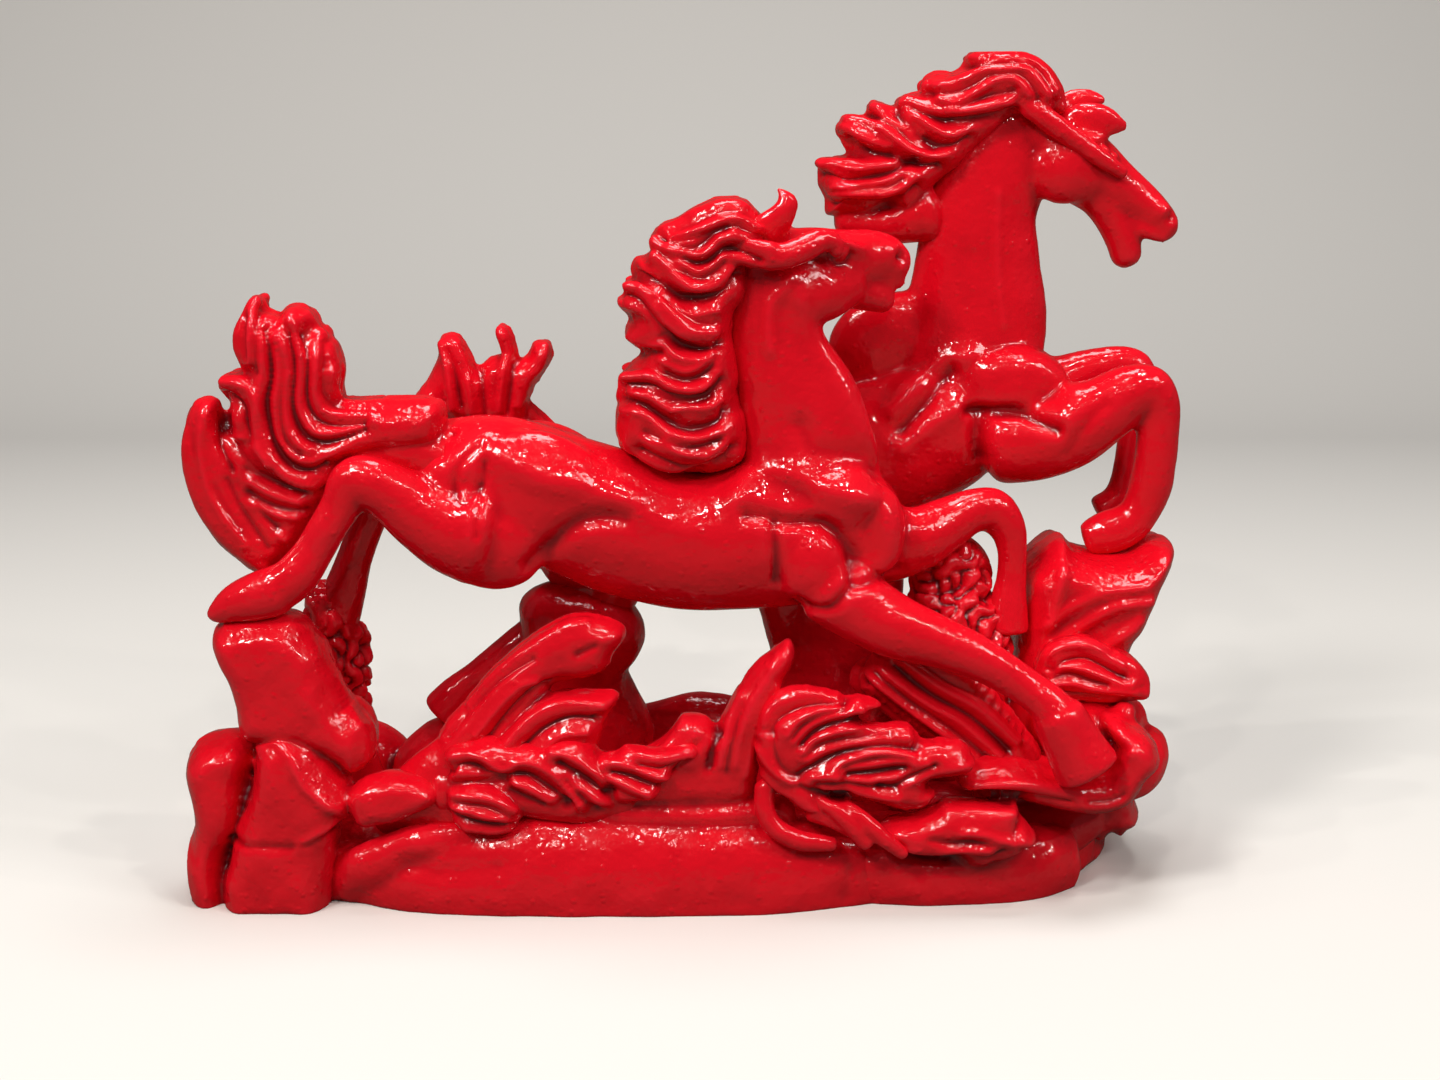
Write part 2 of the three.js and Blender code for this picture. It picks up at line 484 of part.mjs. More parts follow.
// Castings in the order in which they are seated: each is cut back to those before it
const castings = {
  front_torso: frontTorso,
  rear_torso: rearTorso,
  front_head: frontHead,
  rear_head: rearHead,
  front_near_hind_leg: hindLeg(frontNearHind),
  front_far_hind_leg: hindLeg(frontFarHind),
  front_near_foreleg: foreLeg(frontNearFore),
  front_far_foreleg: foreLeg(frontFarFore),
  rear_near_foreleg: foreLeg(rearNearFore),
  rear_far_foreleg: foreLeg(rearFarFore),
  rear_near_hind_leg: hindLeg(rearNearHind),
  rear_far_hind_leg: hindLeg(rearFarHind),
  front_mane: [
    frontManeCore,
    ...hair(frontManeLocks, 6, 8),
    ...hair(everyThird(frontManeLocks, frontPlane, 1), 6, 9, -1),
    lock(frontForelock, 4, 4.5),
  ],
  rear_mane: [
    rearManeCore,
    ...hair(rearManeLocks, 6, 7.5),
    ...hair(everyThird(rearManeLocks, rearPlane, 1), 6, 8.5, -1),
    lock(rearForelock, 3.5, 4.5),
  ],
  front_tail: [
    ...hair(frontTailLocks, 9, 9.5),
    ...hair([mirrored(frontTailLocks[1], frontPlane - 4, 1)], 9, 11, -1),
  ],
  front_tail_skirt: hair(frontTailSkirt, 9, 9.5),
  rear_tail: hair(rearTailLocks, 8, 8),
  back_hoof_boulder: [boulder(fromSole(rearFarHind, [3, -4, -19]), [24, 15, 22], 6, 1)],
  ground: [ground],
  front_bank: [
    loft(fromFront([[-128, 14, 17], [-80, 12, 15], [-20, 11, 15], [30, 13, 16], [58, 16, 20]]),
      [[12, 17], [14, 20], [14, 20], [14, 20], [10, 14]], { sides: 12 }),
  ],
  left_outer_boulder: [boulder([leftEnd + 7, -36, 27], [15, 19, 32], 1, 1)],
  left_inner_boulder: [boulder([leftEnd + 35, -44, 30], [22, 17, 37], 2)],
  left_small_boulder: [boulder([-109, frontEdge + 10, 36], [17, 11, 14], 3, 1)],
  left_pillar: [
    loft([[-140, -38, 34], [-146, -40, 54], [-147, -42, 74], fromSole(frontNearHind, [22, 5, -23])],
      [[17, 24], [17, 21], [15, 22], [15, 20]], { sides: 12, ends: [0.5, 0.6], rugged: 0.16 }),
  ],
  left_column: [
    loft([[-132, 4, 12], [-134, 0, 42], [-130, -3, 70], fromSole(frontFarHind, [9, -1, 0])],
      [[19, 19], [13, 15], [13, 12], [13, 13]], { ends: [0.5, 0.4], rugged: 0.2 }),
  ],
  left_rear_boulder: [boulder(fromSole(rearNearHind, [6, 3, -23]), [24, 18, 24], 4, 1)],
  back_left_boulder: [boulder([leftEnd + 42, backEdge - 26, 24], [30, 18, 26], 5, 1)],
  crest: [
    loft(fromFront([[-114, 20, 32], [-88, 18, 36], [-60, 18, 40], [-34, 22, 34]]),
      [[8, 10], [12, 17], [12, 20], [8, 12]], { rugged: 0.12 }),
    ...hair(crestBlades, 9, 9),
  ],
  left_tuft: hair(leftTuftBlades, 6, 6),
  middle_rock: [
    loft([[-12, -40, 30], [6, -40, 48], [24, -38, 58], [36, -32, 76]],
      [[14, 16], [13, 12], [10, 9], [5, 5]]),
  ],
  middle_column: [
    loft([[-50, 18, 14], [-44, 20, 44], [-50, 15, 74], [-43, 14, frontHeight - 46]],
      [[24, 31], [17, 27], [18, 23], [20, 27]], { sides: 12, ends: [0.5, 0.5], rugged: 0.2 }),
  ],
  chest_column: [
    loft([[60, 6, 14], [53, 3, 44], [57, 6, 78], [56, 4, frontHeight - 24]],
      [[26, 37], [19, 30], [18, 27], [16, 30]], { sides: 12, ends: [0.5, 0.5], rugged: 0.18 }),
  ],
  coral_rock: [boulder([108, -6, 76], [28, 20, 40], 7, 1)],
  fan_tuft: hair(fanBlades, 7, 7.5),
  slope_tuft: hair(slopeBlades, 9, 9),
  right_ledge: [
    loft([[106, -36, 36], [138, -40, 39], [168, -36, 41], [186, -20, 45]],
      [[16, 11], [16, 12], [15, 12], [10, 11]], { rugged: 0.1 }),
  ],
  right_front_boulder: [boulder([92, frontEdge + 18, 16], [34, 15, 20], 8)],
  right_corner_boulder: [boulder([rightEnd - 36, frontEdge + 24, 16], [28, 16, 19], 9, 1)],
  right_inner_boulder: [boulder([172, -10, 56], [18, 18, 18], 11, 1)],
  right_cliff: [
    loft([[152, 14, 14], [156, 18, 46], [160, 14, 82], fromSole(rearNearFore, [-6, 10, -12])],
      [[31, 35], [29, 28], [26, 25], [29, 26]], { sides: 12, ends: [0.3, 0.25], rugged: 0.16 }),
    loft([[150, 14, 50], [147, 14, 98], fromSole(rearNearFore, [-16, 2, -8])],
      [[20, 14], [16, 11], [9, 7]]),
    boulder(fromSole(rearNearFore, [27, 4, -11]), [9, 11, 12], 10, 1),
  ],
  cliff_tuft: hair(cliffBlades, 8, 7),
  back_bank: [
    loft(fromBack([[-60, 16, 18], [-20, 13, 30], [10, 15, 38], [44, 13, 30], [76, 16, 34], [112, 20, 22]]),
      [[13, 18], [14, 25], [15, 31], [14, 24], [14, 27], [13, 20]], { sides: 12, rugged: 0.2 }),
  ],
};

const overlap = (a, b) =>
  [0, 1, 2].every((i) => a.min[i] < b.max[i] && b.min[i] < a.max[i]);

const largest = (solid) =>
  solid.decompose().reduce((best, piece) => (piece.volume() > best.volume() ? piece : best));

const belowGround = solidOfGeometry(new THREE.BoxGeometry(800, 400, 100).translate(0, 0, -50));

const ornament = new THREE.Group();
const seats = [];
for (const [name, shapes] of Object.entries(castings)) {
  const join = (grow) => shapes.map((shape) => shape(grow)).reduce((whole, piece) => whole.add(piece));
  let solid = join(0).subtract(belowGround);
  const box = solid.boundingBox();
  for (const seat of seats) {
    if (overlap(box, seat.boundingBox())) solid = solid.subtract(seat);
  }
  solid = largest(solid);
  seats.push(join(glueLine));
  const { vertProperties, triVerts } = solid.getMesh();
  const geometry = new THREE.BufferGeometry();
  geometry.setAttribute("position", new THREE.BufferAttribute(vertProperties, 3));
  geometry.setIndex(new THREE.BufferAttribute(triVerts, 1));
  const mesh = new THREE.Mesh(geometry, resin);
  mesh.name = name;
  ornament.add(mesh);
}

export default ornament;
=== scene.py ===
# Two galloping horses over rocks and wind-blown tufts, all under one glossy red enamel:
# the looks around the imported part. Shapes are worked out in millimetres, meshes are in metres.
# x runs the way the horses gallop, y away from the display side, z up.

import math

import bpy
import numpy as np
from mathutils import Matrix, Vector


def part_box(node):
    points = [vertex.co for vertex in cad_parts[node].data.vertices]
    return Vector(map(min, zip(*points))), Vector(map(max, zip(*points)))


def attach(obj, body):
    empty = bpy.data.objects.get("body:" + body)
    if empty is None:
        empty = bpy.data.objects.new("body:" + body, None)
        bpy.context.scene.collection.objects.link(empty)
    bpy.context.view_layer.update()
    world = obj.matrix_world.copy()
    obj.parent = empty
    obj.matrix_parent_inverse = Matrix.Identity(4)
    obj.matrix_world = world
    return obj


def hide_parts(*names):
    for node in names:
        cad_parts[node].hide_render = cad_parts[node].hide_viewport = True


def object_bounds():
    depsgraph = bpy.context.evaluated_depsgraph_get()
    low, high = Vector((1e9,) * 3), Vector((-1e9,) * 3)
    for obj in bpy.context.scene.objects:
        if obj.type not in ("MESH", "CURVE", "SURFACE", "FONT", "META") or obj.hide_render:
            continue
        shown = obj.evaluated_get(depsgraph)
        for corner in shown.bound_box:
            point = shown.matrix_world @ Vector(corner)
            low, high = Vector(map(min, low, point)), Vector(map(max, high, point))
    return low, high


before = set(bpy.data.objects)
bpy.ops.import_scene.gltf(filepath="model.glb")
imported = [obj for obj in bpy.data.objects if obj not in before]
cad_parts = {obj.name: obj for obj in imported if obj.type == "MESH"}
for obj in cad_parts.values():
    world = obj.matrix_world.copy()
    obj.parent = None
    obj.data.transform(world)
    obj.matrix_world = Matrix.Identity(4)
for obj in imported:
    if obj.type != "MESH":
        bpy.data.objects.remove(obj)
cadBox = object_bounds()
boxInset = 0.3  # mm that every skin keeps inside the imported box, except at the sole
packedBox = np.array([[1000 * value for value in corner] for corner in cadBox])
packedBox += [[boxInset, boxInset, 0], [-boxInset, -boxInset, -boxInset]]
coarse = 1.0
print("frame loaded:", len(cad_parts), "castings")


# Surfaces

def curveAt(points, t):
    # a smooth curve through the points, each span leaving and arriving along its neighbours' chord
    i = np.minimum(t.astype(int), len(points) - 4)
    f = (t - i)[:, None]
    a, b, c, d = points[i], points[i + 1], points[i + 2], points[i + 3]
    return 0.5 * (2 * b + (c - a) * f + (2 * a - 5 * b + 4 * c - d) * f**2 + (3 * b - 3 * c + d - a) * f**3)


def lineThrough(points, count):
    # count places along the curve from the first point to the last
    p = np.asarray(points, float)
    return curveAt(np.vstack([2 * p[0] - p[1], p, 2 * p[-1] - p[-2]]), np.linspace(0, len(p) - 1, count))


def loopThrough(points, count):
    # count places round the closed curve through the points
    p = np.asarray(points, float)
    return curveAt(np.vstack([p[-1:], p, p[:2]]), np.linspace(0, len(p), count, endpoint=False))


def unit(vectors):
    # each vector over its own length
    return vectors / np.maximum(np.linalg.norm(vectors, axis=-1, keepdims=True), 1e-9)


def closedForm(rings, firstPole, lastPole):
    # rings of points, each joined to the next, with a pole beyond each end
    count, around = rings.shape[:2]
    points = np.vstack([firstPole, rings.reshape(-1, 3), lastPole])
    near = 1 + np.arange(count - 1)[:, None] * around + np.arange(around)[None, :]
    side = 1 + np.arange(count - 1)[:, None] * around + (np.arange(around)[None, :] + 1) % around
    i = np.arange(around)
    j = (i + 1) % around
    last = len(points) - 1
    triangles = [
        np.stack([near, side, side + around], -1).reshape(-1, 3),
        np.stack([near, side + around, near + around], -1).reshape(-1, 3),
        np.stack([0 * i, 1 + j, 1 + i], -1),
        np.stack([0 * i + last, last - around + i, last - around + j], -1),
    ]
    return points, np.vstack(triangles)


def tube(path, sizes, across=(0, 1, 0), steps=36, around=36, skin=None, ends=(0.8, 0.8)):
    # an ellipse carried along a line, its radii [across, upright] times skin(turn, share),
    # closed by half an ellipsoid at each end, ends times its smaller radius long
    line = lineThrough(path, steps)
    size = np.maximum(lineThrough(sizes, steps), 0.4)  # nowhere thinner than 0.4 mm
    along = unit(np.gradient(line, axis=0))
    across = np.asarray(across, float)
    wide = unit(across - along * (along @ across)[:, None])
    tall = np.cross(along, wide)
    cap = np.linspace(0, math.pi / 2, 7)[1:-1]  # the five rings on each end
    reach = [ends[0] * size[0].min(), ends[1] * size[-1].min()]
    station = np.concatenate([0 * cap, np.arange(steps), 0 * cap + steps - 1]).astype(int)
    shift = np.concatenate([-reach[0] * np.sin(cap[::-1]), np.zeros(steps), reach[1] * np.sin(cap)])
    shrink = np.concatenate([np.cos(cap[::-1]), np.ones(steps), np.cos(cap)])
    turn = np.linspace(0, 2 * math.pi, around, endpoint=False)[None, :]
    swell = shrink[:, None] * (skin(turn, station[:, None] / (steps - 1)) if skin else 1 + 0 * turn)
    centre = (line[station] + along[station] * shift[:, None])[:, None, :]
    sideways = wide[station][:, None, :] * (size[station, :1] * swell * np.cos(turn))[..., None]
    upwards = tall[station][:, None, :] * (size[station, 1:] * swell * np.sin(turn))[..., None]
    firstPole = line[0] - along[0] * reach[0]
    lastPole = line[-1] + along[-1] * reach[1]
    return closedForm(centre + sideways + upwards, firstPole, lastPole)


def loft(stations, **options):
    # a tube through stations of [x, y, z, across, upright]
    stations = np.asarray(stations, float)
    return tube(stations[:, :3], stations[:, 3:], **options)


def ball(centre, radii, turn=0.0):
    # an ellipsoid from two angles, turned by degrees about y
    up = np.linspace(-math.pi / 2, math.pi / 2, 22)[1:-1, None]  # twenty rings between the poles
    turns = np.linspace(0, 2 * math.pi, 32, endpoint=False)[None, :]
    sphere = np.stack([np.cos(up) * np.cos(turns), np.cos(up) * np.sin(turns), np.sin(up) + 0 * turns], -1)
    c, s = math.cos(math.radians(turn)), math.sin(math.radians(turn))
    spin = np.array([[c, 0, s], [0, 1, 0], [-s, 0, c]])

    def stretched(p):
        return (p * np.asarray(radii, float)) @ spin.T + np.asarray(centre, float)

    bottom, top = np.array([0, 0, -1.0]), np.array([0, 0, 1.0])
    return closedForm(stretched(sphere), stretched(bottom), stretched(top))


def pillow(outline, front, back, edge):
    # a cushion inside an outline of [x, z]: its half depth is (back - front) / 2 times
    # sqrt(1 - (1 - d / edge)^2), where d is the distance to the rim and is counted up to edge
    grain = 1.0  # mm between the points of its two sheets
    rim = loopThrough(outline, 6 * len(outline))  # six places to each point of the outline
    low, high = rim.min(0) - grain, rim.max(0) + 2 * grain
    x, z = [np.arange(low[k], high[k], grain) for k in (0, 1)]
    flat = np.stack(np.meshgrid(x, z, indexing="ij"), -1).reshape(-1, 2)
    here, there = rim[None], np.roll(rim, -1, 0)[None]
    # a point is inside where a line from it towards greater x meets the rim an odd number of times
    px, pz = flat[:, :1], flat[:, 1:]
    meet = here[..., 0] + (there - here)[..., 0] * (pz - here[..., 1]) / ((there - here)[..., 1] + 1e-12)
    inside = (((here[..., 1] > pz) != (there[..., 1] > pz)) & (px < meet)).sum(1) % 2 == 1
    gap = np.sqrt(((flat[:, None] - here) ** 2).sum(2).min(1))
    share = np.where(inside, np.sqrt(1 - (1 - np.clip(gap / edge, 0, 1)) ** 2), 0)
    half, middle = (back - front) / 2, (back + front) / 2
    sheets = [np.column_stack([flat[:, 0], middle + side * half * share, flat[:, 1]]) for side in (-1, 1)]
    first = (np.arange(len(x) - 1)[:, None] * len(z) + np.arange(len(z) - 1)[None, :]).ravel()
    corners = np.stack([first, first + len(z), first + len(z) + 1, first + 1], 1)
    corners = corners[inside[corners].any(1)]
    near = np.vstack([corners[:, [0, 1, 2]], corners[:, [0, 2, 3]]])
    return np.vstack(sheets), np.vstack([near, near[:, ::-1] + len(flat)])


def moved(forms, middle):
    # forms measured from a point, put in their place
    return [(points + middle, triangles) for points, triangles in forms]


# Relief

def waves(points, size, seed, count=14):
    # a soft uneven relief from about -1 to 1: the sum of plane waves, about size long, that run
    # in seeded directions
    rng = np.random.default_rng(seed)
    directions = unit(rng.normal(size=(count, 3)))
    directions *= rng.uniform(0.7, 1.4, (count, 1))  # some shorter, some longer than size
    phases = rng.uniform(0, 2 * math.pi, count)
    return np.sin(points @ directions.T * (2 * math.pi / size) + phases).sum(1) / math.sqrt(count / 2) / 2


def uneven(points, parts, push=0):
    # push, and on it height * waves of each part [height, length, seed]
    for height, length, seed in parts:
        push = push + height * waves(points, length, seed)
    return push


def nearness(points, line, width, sharp=2.0):
    # exp(-(distance / width)^sharp): 1 on a line of places, and 0 beyond three widths
    line = lineThrough(line, 40) if len(line) > 1 else np.asarray(line, float)
    low, high = line.min(0) - 3 * width, line.max(0) + 3 * width
    close = np.where(((points >= low) & (points <= high)).all(1))[0]
    result = np.zeros(len(points))
    if len(close):
        gaps = np.linalg.norm(points[close, None, :] - line[None], axis=2).min(1)
        result[close] = np.exp(-((gaps / width) ** sharp))
    return result


def drawn(local, line, width, depth, sharp=2.0, fade=8.0):
    # a stroke along a line of [x, z] on both flanks: depth times the nearness to it as seen from
    # the side, fading out towards the middle plane over the distance fade
    fading = np.clip(np.abs(local[:, 1]) / fade, 0, 1)
    return depth * nearness(local[:, [0, 2]], line, width, sharp) * fading


# What each kind of stroke does to hair, tufts and rocks: its width, and how far it lifts the skin
cuts = {"crest": (1.9, 1.7), "groove": (1.5, -1.4), "gully": (2.2, -3.0), "strand": (0.9, 0.6)}


def carved(local, strokes, fade=8.0):
    # the sum of all strokes, each a kind of cut and its line
    push = np.zeros(len(local))
    for kind, line in strokes:
        push += drawn(local, line, *cuts[kind], sharp=1.6, fade=fade)
    return push


# Castings

def softened(points, edges, rounds):
    # each point moves half of the way to the middle of its neighbours, round after round
    a = np.concatenate([edges[:, 0], edges[:, 1]])
    b = np.concatenate([edges[:, 1], edges[:, 0]])
    share = 1 / np.maximum(np.bincount(a, minlength=len(points)), 1)[:, None]
    for _ in range(rounds):
        mean = np.stack([np.bincount(a, points[b, k], len(points)) for k in range(3)], 1) * share
        points = points + 0.5 * (mean - points)
    return points


def coordinates(mesh):
    # the mesh's points in millimetres
    values = np.zeros(len(mesh.vertices) * 3, np.float32)
    mesh.vertices.foreach_get("co", values)
    return values.reshape(-1, 3).astype(float) * 1000


def placed(mesh, points):
    # puts points, in millimetres, into the mesh and gives back its new normals
    mesh.vertices.foreach_set("co", (points / 1000).astype(np.float32).ravel())
    mesh.update()
    values = np.zeros(len(mesh.vertices) * 3, np.float32)
    mesh.vertex_normals.foreach_get("vector", values)
    return values.reshape(-1, 3).astype(float)


def meltedMesh(name, forms, grain):
    # the forms joined into one skin of even grains, so that they run into each other like paint
    offsets = np.cumsum([0] + [len(points) for points, _ in forms])
    points = np.vstack([points for points, _ in forms]) / 1000
    triangles = np.vstack([triangles + offset for (_, triangles), offset in zip(forms, offsets)])
    raw = bpy.data.meshes.new(name + "Raw")
    raw.from_pydata(points.tolist(), [], triangles.tolist())
    helper = bpy.data.objects.new(name + "Raw", raw)
    bpy.context.scene.collection.objects.link(helper)
    melt = helper.modifiers.new("melt", "REMESH")
    melt.mode = "VOXEL"
    melt.voxel_size = grain * coarse / 1000
    mesh = bpy.data.meshes.new_from_object(helper.evaluated_get(bpy.context.evaluated_depsgraph_get()))
    bpy.data.objects.remove(helper)
    bpy.data.meshes.remove(raw)
    mesh.name = name
    return mesh


# Where lacquer pools, and where shade is painted into grooves and a highlight onto crests: the rounds of
# softening that give a skin's average, and how many mm below that average the deepest groove lies
poolAndShade = {"rounds": 22, "depth": 1.2}


def casting(name, forms, nodes, finish, grain, melt, detail):
    # forms melted together from grains, softened for melt rounds, then given their detail
    mesh = meltedMesh(name, forms, grain)
    edges = np.zeros(len(mesh.edges) * 2, np.int32)
    mesh.edges.foreach_get("vertices", edges)
    edges = edges.reshape(-1, 2)
    points = softened(coordinates(mesh), edges, max(1, round(melt / coarse**2)))
    points = softened(detail(points, placed(mesh, points)), edges, 1)
    points = np.clip(points, *packedBox)
    normals = placed(mesh, points)
    # how far the skin lies below its own soft average: above 0 in grooves, below 0 on crests
    average = softened(points, edges, round(poolAndShade["rounds"] / coarse))
    hollow = ((average - points) * normals).sum(1)
    # the enamel paints shade into the grooves and a highlight onto the crests by this measure, beside the
    # lacquer's pooling and thinning
    attribute = mesh.attributes.new("hollow", "FLOAT", "POINT")
    attribute.data.foreach_set("value", np.clip(hollow / poolAndShade["depth"], -1, 1).astype(np.float32))
    mesh.polygons.foreach_set("use_smooth", np.ones(len(mesh.polygons), bool))
    mesh.materials.append(finish)
    piece = bpy.data.objects.new(name, mesh)
    bpy.context.scene.collection.objects.link(piece)
    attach(piece, "root")
    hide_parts(*nodes)
    print(name, "cast:", len(mesh.polygons), "faces")


# Enamel

def nodeMaker(tree):
    # adds nodes to a tree: inputs are values or other nodes' sockets, settings are the node's own
    def make(kind, inputs=None, **settings):
        node = tree.nodes.new(kind)
        for key, value in settings.items():
            setattr(node, key, value)
        for key, value in (inputs or {}).items():
            if isinstance(value, bpy.types.NodeSocket):
                tree.links.new(value, node.inputs[key])
            else:
                node.inputs[key].default_value = value
        return node
    return make


def lacquerGroup():
    # Colour deepens in grooves, partly for lacquer that pools there and partly as painted shade, and it
    # brightens on crests, partly for thin lacquer and partly as a painted highlight.
    # Height is the lacquer's uneven skin: long sags, short orange peel and a few specks.
    tree = bpy.data.node_groups.new("lacquer", "ShaderNodeTree")
    face = tree.interface
    for name, kind, value in (
        ("Red", "NodeSocketColor", (0.7, 0.01, 0.02, 1)),
        ("Deep Red", "NodeSocketColor", (0.2, 0.0, 0.005, 1)),
        ("Thin Red", "NodeSocketColor", (0.9, 0.03, 0.05, 1)),
        ("Pooling", "NodeSocketFloat", 0.8),
        ("Gloss", "NodeSocketFloat", 0.12),
        ("Peel", "NodeSocketFloat", 1.0),
    ):
        face.new_socket(name=name, in_out="INPUT", socket_type=kind).default_value = value
    face.new_socket(name="Color", in_out="OUTPUT", socket_type="NodeSocketColor")
    face.new_socket(name="Roughness", in_out="OUTPUT", socket_type="NodeSocketFloat")
    face.new_socket(name="Height", in_out="OUTPUT", socket_type="NodeSocketFloat")
    make = nodeMaker(tree)
    given = make("NodeGroupInput").outputs
    place = make("ShaderNodeTexCoord").outputs["Object"]

    def noise(scale, detail):
        # soft clouds, scale of them to the metre
        inputs = {"Vector": place, "Scale": scale, "Detail": detail}
        return make("ShaderNodeTexNoise", inputs).outputs["Fac"]

    def spread(value, low, high, first, last):
        # low to high becomes first to last
        return make("ShaderNodeMapRange", {"Value": value, 1: low, 2: high, 3: first, 4: last}).outputs[0]

    def worked(operation, *values):
        # a sum or a product, or first * second + third
        return make("ShaderNodeMath", dict(enumerate(values)), operation=operation).outputs[0]

    def mixed(share, one, other):
        # one colour, and by its share the other over it
        return make("ShaderNodeMix", {"Factor": share, 6: one, 7: other}, data_type="RGBA").outputs[2]

    # painted shade in grooves and a painted highlight on crests, together with the lacquer's own pooling
    # and thinning
    groove = make("ShaderNodeAttribute", attribute_name="hollow").outputs["Fac"]
    depth = worked("ADD", groove, spread(noise(38.0, 3.0), 0.3, 0.7, -0.18, 0.18))
    pooledShade = worked("MULTIPLY", spread(depth, 0.02, 0.75, 0.0, 1.0), given["Pooling"])
    thinHighlight = spread(depth, -0.1, -0.8, 0.0, 0.75)
    coat = mixed(pooledShade, mixed(thinHighlight, given["Red"], given["Thin Red"]), given["Deep Red"])
    rough = worked("ADD", given["Gloss"], spread(noise(95.0, 2.0), 0.35, 0.75, 0.0, 0.09))
    sag, peel = noise(70.0, 1.5), noise(330.0, 1.0)
    speck = make("ShaderNodeTexVoronoi", {"Vector": place, "Scale": 210.0}).outputs["Distance"]
    small = worked("MULTIPLY_ADD", peel, 0.42, spread(speck, 0.0, 0.28, 0.35, 0.0))
    height = worked("MULTIPLY_ADD", sag, 1.0, worked("MULTIPLY", small, given["Peel"]))
    make("NodeGroupOutput", {"Color": coat, "Roughness": rough, "Height": height})
    return tree


def enamel(name, values):
    # glossy red over cast resin, with values for the lacquer's own sockets
    material = bpy.data.materials.new(name)
    material.use_nodes = True
    tree = material.node_tree
    make = nodeMaker(tree)
    shader = tree.nodes["Principled BSDF"]
    shader.inputs["IOR"].default_value = 1.5
    coat = make("ShaderNodeGroup", values, node_tree=lacquer).outputs
    bump = make("ShaderNodeBump", {"Height": coat["Height"], "Strength": 0.6, "Distance": 0.0013})
    tree.links.new(coat["Color"], shader.inputs["Base Color"])
    tree.links.new(coat["Roughness"], shader.inputs["Roughness"])
    tree.links.new(bump.outputs["Normal"], shader.inputs["Normal"])
    return material


# the lacquer's red; a darker red for pooled lacquer and painted shade in grooves; a lighter red for thin
# lacquer and a painted highlight on crests
reds = {
    "Red": (0.76, 0.003, 0.013, 1),
    "Deep Red": (0.13, 0.0005, 0.003, 1),
    "Thin Red": (0.9, 0.01, 0.026, 1),
}
lacquer = lacquerGroup()
horseEnamel = enamel("horse_enamel", {**reds, "Pooling": 0.7, "Gloss": 0.1, "Peel": 0.8})
hairEnamel = enamel("hair_enamel", {**reds, "Pooling": 0.9, "Gloss": 0.12, "Peel": 1.0})
rockEnamel = enamel("rock_enamel", {**reds, "Pooling": 0.9, "Gloss": 0.12, "Peel": 0.9})
tuftEnamel = enamel("tuft_enamel", {**reds, "Pooling": 0.95, "Gloss": 0.12, "Peel": 0.7})
print("enamel mixed")


# Horses

horseSkin = {
    "grain": 1.1,
    "melt": 14,
    "waves": [(0.25, 40, 3), (0.06, 14, 4)],  # height, length, seed
    "nostril": (2.4, -3.4),  # width, depth
    "eyelid": (4.4, 1.0, -1.4),  # radius, width, depth
    "eyeball": [2.8, 2.8, 2.8],
}


def middleOf(torso, drop):
    # the point that a horse is measured from: x as in the frame, the torso's middle plane in y,
    # and the middle of its barrel, drop above the belly's lowest point
    low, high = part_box(torso)
    return np.array([0, (low.y + high.y) * 500, low.z * 1000 + drop])


def leg(stations):
    # a limb is a tenth thinner across than in its stride
    stations = np.asarray(stations, float)
    sizes = np.stack([0.9 * stations[:, 3], stations[:, 3]], 1)
    return tube(stations[:, :3], sizes, steps=70, ends=(0.6, 0.12))


def throughPlane(places, plane):
    # the same places on the other side of a plane, given by a point and its outward direction
    point, outward = np.asarray(plane[0], float), unit(np.asarray(plane[1], float))
    places = np.asarray(places, float)
    return places - 2 * ((places - point) @ outward)[..., None] * outward


def headForms(head):
    # the middle forms, the paired ones with their fellows, then ears and eyes
    outward = head["plane"][1]
    forms = [loft(stations, across=outward) for stations in head["middle"]]
    for stations in head["paired"]:
        stations = np.asarray(stations, float)
        for path in (stations[:, :3], throughPlane(stations[:, :3], head["plane"])):
            forms.append(tube(path, stations[:, 3:], across=outward))
    forms += [loft(stations, across=outward, ends=(0.5, 1.2)) for stations in head["ears"]]
    eyes = (head["eye"], throughPlane(head["eye"], head["plane"]))
    return forms + [ball(eye, horseSkin["eyeball"]) for eye in eyes]


def horseForms(horse):
    # body and neck, the muscles on both flanks, then legs and hooves
    forms = [loft(horse["spine"], steps=64, around=64), loft(horse["neck"], ends=(0.3, 0.5), around=48)]
    for (x, y, z), radii, turn in horse["muscles"]:
        forms += [ball([x, side * y, z], radii, turn) for side in (1, -1)]
    forms += [leg(stations) for stations in horse["legs"].values()]
    return forms + [loft(stations, ends=(0.2, 0.06)) for stations in horse["hooves"]]


def castHorse(name, horse, head, nodes):
    # one casting of horse and head, and the point that both are measured from
    middle = middleOf(horse["torso"], horse["drop"])

    def detail(points, normals):
        local = points - middle
        push = uneven(local, horseSkin["waves"])
        for line, width, depth in horse["strokes"]:
            push += drawn(local, line, width, depth)
        width, depth = horseSkin["nostril"]
        for place in (head["nostril"], throughPlane(head["nostril"], head["plane"])):
            push += depth * nearness(local, [place], width)
        radius, width, depth = horseSkin["eyelid"]
        for place in (head["eye"], throughPlane(head["eye"], head["plane"])):
            gap = np.linalg.norm(local - place, axis=1)
            push += depth * np.exp(-(((gap - radius) / width) ** 2))
        return points + normals * push[:, None]

    forms = moved(horseForms(horse) + headForms(head), middle)
    casting(name, forms, nodes, horseEnamel, horseSkin["grain"], horseSkin["melt"], detail)
    return middle


# A horse is measured from the middle of its barrel, drop above the belly's lowest point. Stations are
# [x, y, z, across, upright], or [x, y, z, radius] on legs; muscles are centre, radii and turn;
# strokes are a line of [x, z], width and depth. In heads, middle forms run down the head's own
# plane and paired ones are mirrored through it.
limbs = ("near_hind_leg", "far_hind_leg", "near_foreleg", "far_foreleg")

